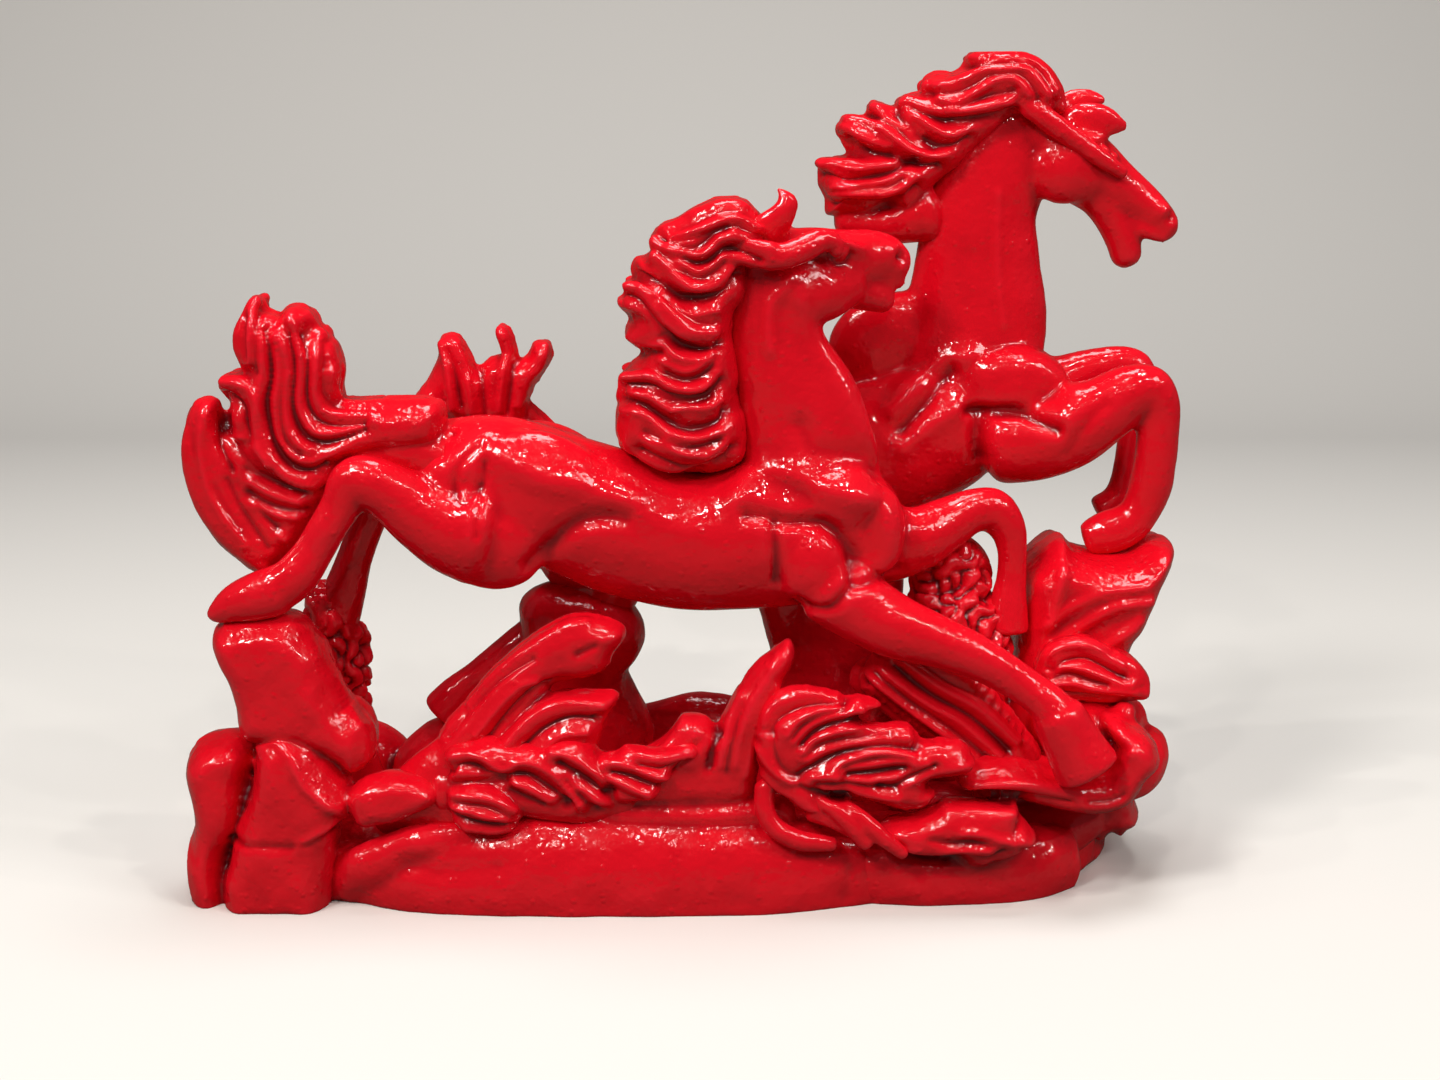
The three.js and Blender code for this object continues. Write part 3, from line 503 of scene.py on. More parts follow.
frontHorse = {
    "torso": "front_torso",
    "drop": 31,
    "spine": [[-92, 0, 27, 16, 18], [-75, 0, 23, 22, 24], [-52, 0, 15, 23, 26], [-25, 0, 5, 22, 28],
              [5, 0, -3, 24, 27], [34, 0, 0, 24, 29], [58, 0, 2, 21, 28], [73, 0, 2, 16, 22]],
    "neck": [[55, 0, -4, 17, 22], [53, 0, 14, 18, 26], [47, 0, 46, 14.5, 24.5], [37.5, 0, 72, 12.5, 19],
             [36, 0, 98, 11, 16]],
    "muscles": [
        ([-54, -12, 18], [30, 12, 24], 12),
        ([-68, -13, 0], [22, 12, 19], -15),
        ([-84, -11, 20], [16, 11, 17], 10),
        ([51, -16, -9], [14, 10.5, 17], 0),
        ([75, -8, 1], [11, 10, 19], 10),
        ([14, -12, -2], [28, 12, 20], 0),
        ([60, -12, 14], [17, 10, 14], -30),
    ],
    "strokes": [
        [[[23, 17], [29, 25], [40, 26], [51, 23], [64, 19], [74, 16], [80, 8], [81, -3], [77, -10]],
         5.0, 2.6],
        [[[26, 12], [35, 11], [41, 9], [50, 9], [57, 7], [63, 1], [66, -5], [66, -12]], 2.8, -3.0],
        [[[36, 8], [37, -2], [37, -14]], 2.2, -2.2],
        [[[45, -22], [50, -24], [58, -23], [65, -16], [73, -14], [85, -13]], 2.2, -2.4],
        [[[46, 44], [51, 36], [61, 34], [70, 32], [76, 27]], 4.5, -1.8],
        [[[43, 98], [48, 84], [58, 67], [66, 50], [75, 33]], 5.0, 2.4],
        [[[40, 95], [35, 89], [34, 79], [35, 72]], 2.0, 1.2],
        [[[-80, 31], [-75, 36], [-71, 37], [-66, 34], [-58, 30], [-48, 25], [-35, 22], [-24, 18],
          [-19, 15]], 6.0, 2.4],
        [[[-20, 11], [-29, 11], [-38, 8], [-47, 0], [-55, -8]], 4.0, -3.0],
        [[[-73, 37], [-82, 28], [-83, 20], [-79, 17], [-74, 23]], 1.6, -1.3],
        [[[-72, 31], [-73, 21], [-74, 11], [-74, 5]], 1.6, -1.3],
        [[[-17, 14], [-7, 10], [4, 7]], 6.0, 1.0],
        [[[-104, 47], [-92, 44], [-80, 47]], 1.4, -1.0],
        [[[-106, 43], [-94, 39], [-84, 41]], 1.4, -1.2],
        [[[-108, 38], [-98, 35], [-89, 34]], 1.6, -1.4],
    ],
    "legs": {
        "near hind": [[-78, -13, 4, 21], [-87, -14, 6, 18], [-97, -16, 11, 14], [-107, -18, 19, 11.4],
                      [-116, -20, 24, 10.4], [-122, -20, 23, 9.4], [-126, -20, 15, 8],
                      [-131, -21, 7, 7.4], [-137, -21, -3, 7.6], [-143, -22, -11, 8.6],
                      [-149, -22, -16, 8.6], [-154, -22, -18, 7.6]],
        "far hind": [[-70, 12, 10, 19], [-80, 14, -3, 14], [-98, 16, 7, 10], [-111, 17, 16, 8.6],
                     [-118, 18, 12, 7.8], [-124, 18, -1, 7.2], [-129, 18, -14, 7.2], [-133, 18, -26, 8.6],
                     [-138, 19, -38, 10.4]],
        "near fore": [[58, -14, -18, 15], [70, -15, -26, 14], [84, -18, -33, 12.4], [99, -20, -38, 10.4],
                      [114, -22, -44, 8.8], [125, -23, -50, 7.8], [133, -24, -55, 7.4],
                      [140, -26, -60, 7.8], [145, -27, -66, 8.8], [149, -27, -72, 9]],
        "far fore": [[80, 8, -6, 16], [93, 8, -4, 13], [105, 13, 1, 10.6], [116, 16, 6, 8.8],
                     [124, 18, 5, 9], [130, 18, -2, 7.4], [132, 18, -12, 6], [132, 18, -22, 6.2],
                     [131, 17, -31, 7.6], [130, 17, -43, 10]],
    },
    "hooves": [
        [[-150, -22, -17, 8.8, 9.8], [-158, -22, -19.5, 9.2, 9.6], [-166, -22, -22, 8, 8.2],
         [-173, -22, -25.5, 5.6, 5.4], [-178, -22, -28, 2.6, 2.2]],
        [[144, -27, -64, 9.4, 10.4], [150.5, -27, -76, 10.4, 11.6], [157, -27, -87.5, 11.6, 13.2]],
    ],
}

frontHead = {
    "plane": ([31, 0, 106], [0.395, -0.917, 0.06]),
    "middle": [
        [[31, 0, 106, 10, 12], [41, 3, 103, 12, 14], [52, 8, 102, 12, 15], [63, 13, 103, 10.8, 13],
         [72, 17, 104.5, 9.4, 11], [79, 20, 104, 8.6, 9.6], [83.5, 22, 101.5, 7.4, 8]],
        [[54, 8, 93, 8, 9.5], [65, 12, 92.5, 7, 7.6], [73, 15, 90.5, 6.2, 6.6], [79.5, 18, 88, 5.2, 5.4]],
    ],
    "paired": [
        [[45, -4, 95, 7, 12], [55, 0, 93, 8, 12], [66, 7, 95, 6, 8]],
        [[46, -5, 110, 2.4, 2.6], [55, -4, 112, 3, 3.2], [64, 0, 110, 2.6, 2.6], [70, 6, 108, 2, 2]],
        [[64, 5, 103, 2, 2.4], [73, 10, 103, 2, 2.6], [80, 15, 102, 1.8, 2.2]],
        [[76, 12, 107.5, 2.6, 3], [82, 15, 106.5, 3.4, 4], [85, 18, 103.5, 3, 4]],
        [[75, 14, 97.5, 2.4, 2.6], [81, 17, 96, 3, 3], [86, 20, 94.5, 2.4, 2.6]],
    ],
    "ears": [
        [[33, -7, 115, 4, 8.5], [39, -8, 122, 4, 5.8], [41.5, -8, 127, 3.2, 3.8], [38, -8, 131, 1.8, 1.8]],
        [[36, 8, 113, 3.6, 5], [39, 10, 119, 3.4, 4.6], [42, 11, 123, 2, 2.2]],
    ],
    "eye": [61, -0.5, 107.5],
    "nostril": [85, 14.5, 105],
}

frontMiddle = castHorse("front_horse", frontHorse, frontHead,
                        ["front_torso", "front_head", *["front_" + limb for limb in limbs]])

rearHorse = {
    "torso": "rear_torso",
    "drop": 33,
    "spine": [[-62, 0, -7, 17, 16], [-38, 0, -4, 24, 27], [-1, 0, 0, 22, 28], [41, 0, 12, 25, 31],
              [82, 0, 27, 25, 31], [112, 0, 41, 22, 29], [132, 0, 46, 16, 21]],
    "neck": [[110, 0, 30, 17, 24], [113, 0, 48, 18, 29], [119.5, 0, 77, 15, 29.5],
             [120, 0, 104, 13, 25.5], [121, 0, 124, 12, 22.5], [129, 0, 145, 11, 20],
             [134, 0, 160, 9, 13]],
    "muscles": [
        ([133, -13, 53], [23, 12, 17], -8),
        ([134, -14, 34], [16, 12, 16], 0),
        ([-38, -14, -11], [22, 12, 24], -20),
        ([98, -13, 38], [22, 12, 22], -30),
        ([-30, -15, -26], [13, 11, 16], 0),
        ([84, -2, 72], [25, 8, 19], -20),
    ],
    "strokes": [
        [[[116, 63], [129, 65], [143, 64], [152, 58], [157, 51], [153, 44]], 5.0, 1.5],
        [[[115, 46], [125, 46], [135, 46], [144, 42], [149, 40]], 2.6, -3.0],
        [[[85, 46], [93, 54], [106, 64], [116, 68]], 4.5, 2.4],
        [[[89, 39], [98, 50], [108, 62]], 3.4, -2.4],
        [[[89, 32], [95, 37], [102, 42], [110, 47]], 4.5, 2.2],
        [[[126, 131], [126, 115], [127, 96], [129, 80]], 2.0, 0.8],
        [[[119, 44], [118, 36], [120, 27]], 2.6, -1.6],
        [[[154, 30], [160, 42], [168, 50]], 2.4, -0.8],
    ],
    "legs": {
        "near fore": [[130, -14, 32, 17], [144, -16, 34, 17], [157, -19, 39, 16.4], [169, -21, 46, 14],
                      [179, -22, 53, 11.6], [187, -22, 54.5, 9.6], [191, -22, 47, 8.8],
                      [191, -22, 36, 8.6], [190.5, -22, 25, 8.6], [189, -21, 14, 8.8], [185, -21, 4, 8.2],
                      [180, -21, -1, 9], [172, -21, -4, 9.2], [164, -21, -7, 7]],
        "far fore": [[136, 10, 44, 15], [149, 10, 49, 12.6], [168, 12, 57, 9.6], [182, 12, 60, 8.4],
                     [189, 12, 56, 8], [189, 12, 42, 6.2], [187, 11, 27, 5.8], [185, 10, 12, 6],
                     [182, 9, 3, 7.4], [175, 9, -2, 8]],
        "near hind": [[-42, -12, -8, 20], [-30, -15, -26, 15], [-46, -16, -39, 11], [-62, -16, -50, 9],
                      [-74, -16, -59, 8.4], [-84, -16, -67, 8], [-92, -16, -74, 9], [-99, -16, -82, 10.4]],
        "far hind": [[-40, 12, -8, 19], [-26, 16, -28, 14], [-40, 17, -42, 10.4], [-54, 18, -54, 8.4],
                     [-62, 19, -66, 7.4], [-67, 19, -76, 7.6], [-72, 19, -85, 8.4], [-79, 19, -97, 10.6]],
    },
    "hooves": [],
}

rearHead = {
    "plane": ([143, 0, 154], [0, -1, 0]),
    "middle": [
        [[143, 0, 154, 10, 13], [152, 0, 148, 12, 15], [163, 0, 142, 11.2, 13],
         [175, 0, 133.5, 9.4, 10.4], [185, 0, 126.5, 8, 8.4], [192, 0, 120, 7.6, 7.6],
         [195, 0, 117, 7, 6.6]],
        [[158, 0, 137, 9, 10], [168, 0, 130, 8, 9], [174, 0, 121, 7, 7.6], [178, 0, 113, 6.8, 7],
         [180, 0, 106, 6.4, 6.4]],
    ],
    "paired": [
        [[147, -6, 146, 7, 14], [154, -7, 141, 8, 15], [163, -6, 138, 6, 11]],
        [[156, -9, 153, 2, 2.6], [164, -10, 151, 3, 3.2], [172, -9, 145, 2.4, 2.6]],
        [[168, -8, 139, 1.8, 2.4], [179, -7, 132, 2, 2.6], [189, -6, 126, 1.8, 2.2]],
        [[186, -5, 128, 2.4, 3], [192, -6, 124, 3.4, 4], [196, -5, 119, 3, 3.6]],
        [[180, -4, 120, 2, 2.4], [187, -5, 115.5, 2.6, 2.8], [194, -5, 113.5, 2.4, 2.8]],
    ],
    "ears": [
        [[154, -5, 160, 3.4, 5], [161, -7, 160, 3.4, 7], [169, -7, 158.5, 3, 6.4], [176, -6, 157, 1.8, 3]],
        [[150, 6, 162, 3.4, 5], [157, 8, 165, 3.4, 6.6], [163, 8, 167, 3, 5.4], [169, 7, 167.5, 1.8, 2.6]],
    ],
    "eye": [167, -10, 147],
    "nostril": [195.5, -6.5, 121.5],
}

rearMiddle = castHorse("rear_horse", rearHorse, rearHead,
                       ["rear_torso", "rear_head", *["rear_" + limb for limb in limbs]])


# Hair, measured from the same points as the horses. A cushion is its outline, front, back and the
# width of its rounded edge; strokes fade towards plane, a place in y, over the distance fade.

hairSkin = {"grain": 0.75, "melt": 4, "waves": [(0.16, 16, 8), (0.07, 6, 9)]}


def lock(path, thick, wide, combing, seed):
    # a combed lock: a lens that swells and narrows to its tip, with grooves that run along it
    # and drift round it a little; skin = 1 - depth * exp(-(sin(grooves * turn / 2) / width)^2)
    phase = np.random.default_rng(seed).uniform(0, math.pi)
    share = np.linspace(0, 1, len(path))
    # full a third of the way along, and still 0.82 of it at three quarters
    swell = np.interp(share, [0, 0.35, 0.75, 1], [combing["root"], 1, 0.82, combing["tip"]])
    sizes = np.stack([thick * swell, wide * swell], 1)

    def skin(turn, s):
        groove = np.sin(combing["grooves"] * turn / 2 + phase + combing["drift"] * s) / combing["width"]
        return 1 - combing["depth"] * np.exp(-(groove**2)) * np.clip(5 * (1.05 - s), 0, 1)

    return tube(path, sizes, steps=56, around=96, skin=skin, ends=(0.7, 0.9))


def turnedRound(stations, plane):
    # the lobe's fellow on the far side of a plane of y
    return [[x, 2 * plane - y, z, *sizes] for x, y, z, *sizes in stations]


def lobeForms(hair):
    # each lobe and its fellow
    pairs = [(lobe, turnedRound(lobe, hair["plane"])) for lobe in hair["lobes"]]
    return [loft(stations, steps=40) for pair in pairs for stations in pair]


def combed(middle, strokes, fade):
    # crests and grooves on both flanks, over an uneven skin
    def detail(points, normals):
        push = uneven(points, hairSkin["waves"], carved(points - middle, strokes, fade))
        return points + normals * push[:, None]
    return detail


def castHair(name, hair, forms, middle, nodes):
    # the hair's cushion and its other forms, combed towards its own plane
    forms = moved([pillow(*hair["cushion"]), *forms], middle)
    detail = combed(middle + (0, hair["plane"], 0), hair["strokes"], hair["fade"])
    casting(name, forms, nodes, hairEnamel, hairSkin["grain"], hairSkin["melt"], detail)


frontMane = {
    "cushion": ([[28, 124], [25, 127], [21, 128], [18, 128], [14, 128], [10, 126], [6, 124], [2, 121],
                 [-2, 119], [-5, 118], [-8, 116], [-9, 114], [-10, 111], [-9, 109], [-11, 107],
                 [-15, 106], [-17, 103], [-17, 100], [-16, 98], [-19, 97], [-20, 95], [-20, 92],
                 [-22, 91], [-22, 88], [-20, 86], [-18, 84], [-18, 82], [-19, 80], [-19, 76], [-16, 73],
                 [-13, 71], [-14, 69], [-17, 67], [-19, 64], [-22, 61], [-23, 55], [-23, 49], [-24, 43],
                 [-23, 38], [-21, 33], [-16, 30], [-10, 27], [-5, 25], [1, 24], [7, 24], [13, 24],
                 [22, 27], [26, 31], [27, 36], [27, 41], [26, 47], [24, 51], [23, 56], [24, 62], [23, 68],
                 [22, 73], [21, 79], [22, 86], [25, 90], [27, 95], [27, 101], [27, 106], [32, 112],
                 [34, 116], [31, 121]], -18.5, 18.5, 10),
    "lobes": [
        [[-18, -13, 94, 3, 4], [-10, -16, 90, 4, 5], [-4, -17, 84, 4, 5.5], [4, -17, 80, 4, 5],
         [14, -15, 80, 3, 4]],
        [[-8, -13, 106, 3, 3.5], [-1, -16, 99, 3.5, 4], [8, -17, 96, 3.5, 4], [16, -15, 98, 3, 3.5],
         [21, -12, 104, 2.5, 3]],
        [[-8, -11, 112, 2.5, 3], [-1, -14, 109, 3, 3.5], [6, -15, 108, 3, 3.5], [12, -14, 111, 3, 3],
         [20, -12, 115, 2.5, 3]],
        [[-19, -13, 61, 3, 3.5], [-10, -16, 61, 3.5, 4], [-2, -17, 58, 3.5, 4], [8, -17, 58, 3.5, 4],
         [15, -15, 63, 3, 3.5]],
        [[-16, -12, 42, 5, 9], [-2, -15, 37, 6, 11], [12, -14, 36, 5, 9]],
    ],
    "forelock": [[12, -12, 110, 4, 5], [20, -14, 109, 4.4, 5], [29, -16, 107.5, 4.4, 5],
                 [38, -16, 107, 4.2, 5], [46, -13, 109.5, 4, 5], [53, -9, 112.5, 4, 4.6],
                 [58, -7, 111.5, 3.6, 4], [59.5, -7, 108, 2.6, 2.8]],
    "strokes": [
        ("crest", [[-6, 116.5], [-1.5, 118], [3, 120.5], [7, 122.5], [11.5, 124], [16.5, 125.5],
                   [21.5, 126], [25, 125], [29, 122.5]]),
        ("groove", [[-5, 113.5], [-0.5, 116], [5, 118.5], [10.5, 121.5], [15.5, 123.5], [20.5, 124],
                    [25, 122.5], [29.5, 119.5]]),
        ("crest", [[-2.5, 114.5], [5, 116], [13, 118.5], [16.5, 120], [20.5, 121], [25, 120.5],
                   [29.5, 118], [33.5, 116.5]]),
        ("groove", [[-1.5, 113.5], [7.5, 114.5], [12.5, 116.5], [16.5, 118], [21.5, 118.5], [26, 117],
                    [30.5, 115]]),
        ("crest", [[-8, 112.5], [-4, 110.5], [-0.5, 109.5], [3, 108], [7, 107.5], [10, 108], [12.5, 110],
                   [14, 112], [16.5, 114.5], [20.5, 116]]),
        ("groove", [[-6, 114.5], [-2.5, 112.5], [2, 111], [6, 110.5], [8.5, 111.5], [11.5, 113.5],
                    [14.5, 116], [18, 117]]),
        ("crest", [[10.5, 108.5], [14, 110], [18, 112.5], [21.5, 113.5], [26, 112.5], [30.5, 111.5],
                   [34.5, 110.5]]),
        ("gully", [[2.5, 107], [7, 105], [10.5, 105.5], [13.5, 107.5], [16.5, 110], [20.5, 110.5],
                   [25, 109.5], [30, 105.5]]),
        ("crest", [[-8, 107.5], [-4, 104.5], [-1.5, 101.5], [1.5, 98.5], [4.5, 96], [8, 95], [11.5, 95],
                   [15.5, 96.5], [18.5, 99.5], [21, 102.5]]),
        ("crest", [[1.5, 105.5], [5, 103], [8.5, 102], [13, 104], [16.5, 107]]),
        ("groove", [[3.5, 102], [8.5, 100], [13, 101.5], [17.5, 105]]),
        ("gully", [[-15, 101], [-9.5, 99], [-5.5, 97], [-0.5, 93], [5, 92], [10.5, 92.5], [15.5, 94],
                   [19.5, 97], [22.5, 101]]),
        ("crest", [[-19, 96], [-14.5, 96], [-10.5, 94.5], [-7, 92.5], [-5, 90], [-3, 87.5], [1.5, 83],
                   [5, 80.5], [9.5, 79.5], [14, 80]]),
        ("crest", [[-5.5, 95.5], [-1.5, 92], [1, 88], [5, 86], [9.5, 86.5], [14.5, 87.5]]),
        ("crest", [[-13.5, 94], [-10.5, 90.5], [-7.5, 87], [-4.5, 83.5], [-0.5, 80], [4, 78], [9.5, 76.5],
                   [14, 77.5]]),
        ("gully", [[-20, 93], [-15, 92.5], [-12.5, 90], [-10, 86.5], [-7, 82.5], [-3, 78.5], [1, 75],
                   [7, 73.5], [12.5, 73.5], [16, 75.5]]),
        ("crest", [[-21, 90], [-16.5, 89], [-12.5, 87], [-9.5, 83.5], [-7, 80]]),
        ("crest", [[-18, 77], [-13.5, 75.5], [-9, 75], [-5, 75], [-2.5, 72.5], [0.5, 70.5], [5, 69.5],
                   [9.5, 70.5], [13, 72.5]]),
        ("groove", [[-13.5, 72.5], [-9, 72], [-5.5, 72]]),
        ("crest", [[-5.5, 69], [-2, 66.5], [2, 65], [6, 65.5], [9.5, 67.5], [13, 69.5]]),
        ("groove", [[-3.5, 65], [3, 62.5], [7.5, 63.5], [11.5, 66], [14, 69.5]]),
        ("crest", [[-20.5, 62], [-15.5, 62.5], [-10.5, 63], [-7, 62], [-3.5, 59.5], [0.5, 58], [5, 57.5],
                   [9.5, 58.5], [13, 61], [15.5, 64]]),
        ("gully", [[-22, 59], [-16.5, 60], [-12, 60], [-8, 59], [-4.5, 57], [0.5, 55.5], [5.5, 55],
                   [10.5, 56], [14, 59], [16.5, 62]]),
        ("crest", [[-18, 57], [-13.5, 56], [-9.5, 55], [-5.5, 52.5], [-2, 50.5], [3, 51.5], [8.5, 51.5],
                   [13, 52], [16, 54]]),
        ("gully", [[-21, 54], [-15.5, 53.5], [-11, 51.5], [-6.5, 48.5], [-2, 46], [4, 44], [10.5, 44.5],
                   [15.5, 47], [18, 50.5]]),
        ("crest", [[-20.5, 50], [-14.5, 50], [-10, 48], [-6.5, 45], [-2, 42], [3, 40.5], [8, 40],
                   [12.5, 41], [16.5, 42.5]]),
        ("groove", [[-12, 42.5], [-7, 40.5], [-3.5, 38.5], [1, 37], [6.5, 37], [12.5, 38.5], [16.5, 39.5]]),
        ("crest", [[-4.5, 39], [-1, 36.5], [3, 34.5], [8, 33.5], [11.5, 33.5], [15.5, 36], [18, 38.5]]),
        ("gully", [[-14, 35], [-8.5, 32.5], [-2.5, 30], [3, 28], [8.5, 27.5], [14, 29.5], [19, 33],
                   [21.5, 36.5]]),
    ],
    "plane": 0,
    "fade": 8.0,
}

castHair("front_mane_hair", frontMane, [*lobeForms(frontMane), loft(frontMane["forelock"])],
         frontMiddle, ["front_mane"])

rearMane = {
    "cushion": ([[152, 168], [150, 174], [147, 178], [143, 182], [138, 184], [130, 185], [124, 184],
                 [120, 186], [117, 187], [115, 186], [113, 183], [112, 181], [109, 178], [104, 178],
                 [101, 178], [97, 176], [96, 173], [96, 171], [93, 170], [89, 169], [87, 167], [86, 165],
                 [82, 165], [77, 167], [75, 165], [74, 163], [74, 161], [70, 161], [67, 161], [64, 159],
                 [62, 156], [64, 153], [66, 149], [68, 146], [67, 146], [62, 145], [57, 144], [55, 141],
                 [55, 137], [57, 132], [58, 130], [58, 127], [59, 123], [62, 122], [67, 122], [75, 122],
                 [83, 124], [90, 123], [95, 126], [99, 131], [104, 136], [110, 140], [115, 145],
                 [121, 151], [127, 156], [133, 160], [138, 161], [144, 158], [148, 162]], -17, 17, 10),
    "lobes": [
        [[90, -9, 166.5, 2.5, 3], [98, -13, 163, 3, 4], [108, -15, 162, 3.5, 4.5],
         [119, -15, 164, 3.5, 4.5], [129, -12, 165, 3, 3.5]],
        [[67, -8, 158, 2.5, 3.5], [79, -12, 155, 3, 4], [91, -15, 149, 3.5, 4], [102, -14, 146, 3, 3.5]],
        [[57, -8, 141, 2.5, 3.5], [66, -12, 141, 3, 4], [76, -14, 141, 3.5, 4], [85, -12, 144, 3, 3.5]],
        [[61, -8, 131, 2.5, 3.5], [74, -12, 132, 3.5, 4.5], [86, -13, 133, 3.5, 4.5],
         [93, -11, 138, 3, 3.5]],
        [[97, -8, 172, 2.5, 3], [108, -11, 173, 3, 3], [119, -13, 178, 3, 3.5], [132, -13, 179, 3.5, 4],
         [142, -11, 172, 3.5, 4]],
        [[66, -4, 120, 5, 6], [80, -4, 119, 7, 8], [98, -4, 123, 9, 12]],
        [[115, -6, 182, 2, 2], [126, -9, 182, 4, 4.5], [138, -10, 179, 4, 5], [147, -8, 171, 3.5, 4],
         [150, -8, 164, 3, 3]],
    ],
    "forelock": [[130, -12, 168, 3, 4], [139, -14, 163, 3.4, 4.4], [149, -14, 156, 3.4, 4.4],
                 [158, -13, 150, 3.2, 4], [167, -12, 144, 3, 3.6], [175, -10, 139, 2.4, 2.6]],
    "strokes": [
        ("crest", [[114.5, 183], [120.5, 183], [126, 183], [132, 183], [138, 181], [143.5, 176.5],
                   [147, 171]]),
        ("groove", [[112, 180], [118.5, 180.5], [126, 181], [132.5, 181], [139, 178.5], [144, 172.5],
                    [146.5, 167]]),
        ("crest", [[97.5, 172.5], [103, 172.5], [108, 173.5], [113, 175.5], [118.5, 178.5],
                   [124.5, 178.5], [130, 179], [136, 178.5], [140, 174.5], [144, 169]]),
        ("groove", [[99.5, 169.5], [105, 170], [111, 171.5], [116, 174], [120.5, 176.5], [125.5, 177],
                    [131.5, 177], [136, 174], [140, 168]]),
        ("crest", [[101.5, 168], [107, 166], [111, 167], [115, 169.5], [118.5, 172], [122.5, 174.5],
                   [126.5, 175.5], [130, 175.5], [133, 173], [136, 169]]),
        ("groove", [[109, 164.5], [115, 167], [120.5, 169], [126.5, 170], [130.5, 171]]),
        ("crest", [[86.5, 167], [91.5, 166], [95.5, 164.5], [101.5, 162], [107.5, 162.5], [113, 163],
                   [119, 164], [124.5, 165.5], [129.5, 166]]),
        ("gully", [[91.5, 164], [97.5, 161.5], [103.5, 159.5], [109.5, 159.5], [117, 160], [125, 161],
                   [130.5, 163]]),
        ("crest", [[88, 164.5], [92, 162], [95.5, 159.5], [99.5, 156.5], [103.5, 154], [107.5, 153.5],
                   [111.5, 155]]),
        ("gully", [[86, 162], [90.5, 157], [96, 152.5], [101.5, 150], [107.5, 150], [113.5, 152.5]]),
        ("crest", [[75, 165], [80, 164], [84.5, 163.5], [88, 161], [90.5, 157], [94.5, 154]]),
        ("groove", [[75, 161.5], [80, 159.5], [85.5, 156], [89, 152], [94, 149], [100, 148]]),
        ("crest", [[66.5, 159.5], [72.5, 158.5], [78.5, 156.5], [82, 154], [87.5, 150.5], [91, 148],
                   [96, 146], [102, 145.5], [105.5, 147]]),
        ("crest", [[64.5, 156.5], [69.5, 154], [74.5, 151.5], [80.5, 149]]),
        ("gully", [[66, 152], [70, 148.5], [75.5, 147], [80.5, 146.5], [86.5, 144.5], [94, 142.5],
                   [102, 142]]),
        ("crest", [[56, 142], [61, 142], [66, 140.5], [71.5, 140.5], [76.5, 141.5], [82.5, 142],
                   [85.5, 144]]),
        ("gully", [[56, 138.5], [63, 137.5], [71, 137], [78.5, 138], [86.5, 140.5], [92, 143]]),
        ("crest", [[61, 133.5], [66, 133.5], [71, 135], [76.5, 135.5], [82.5, 137], [86.5, 139.5],
                   [91, 141]]),
        ("groove", [[62, 132], [69, 132.5], [75.5, 133.5], [82, 134], [87.5, 136.5]]),
        ("crest", [[60.5, 130.5], [67, 131], [74, 131], [80.5, 131], [85.5, 132.5], [90.5, 135.5],
                   [93.5, 138]]),
        ("gully", [[59, 127], [67, 127], [75, 126.5], [82.5, 127], [88.5, 129.5], [93.5, 133.5]]),
    ],
    "plane": 0,
    "fade": 8.0,
}

castHair("rear_mane_hair", rearMane, [*lobeForms(rearMane), loft(rearMane["forelock"])],
         rearMiddle, ["rear_mane"])

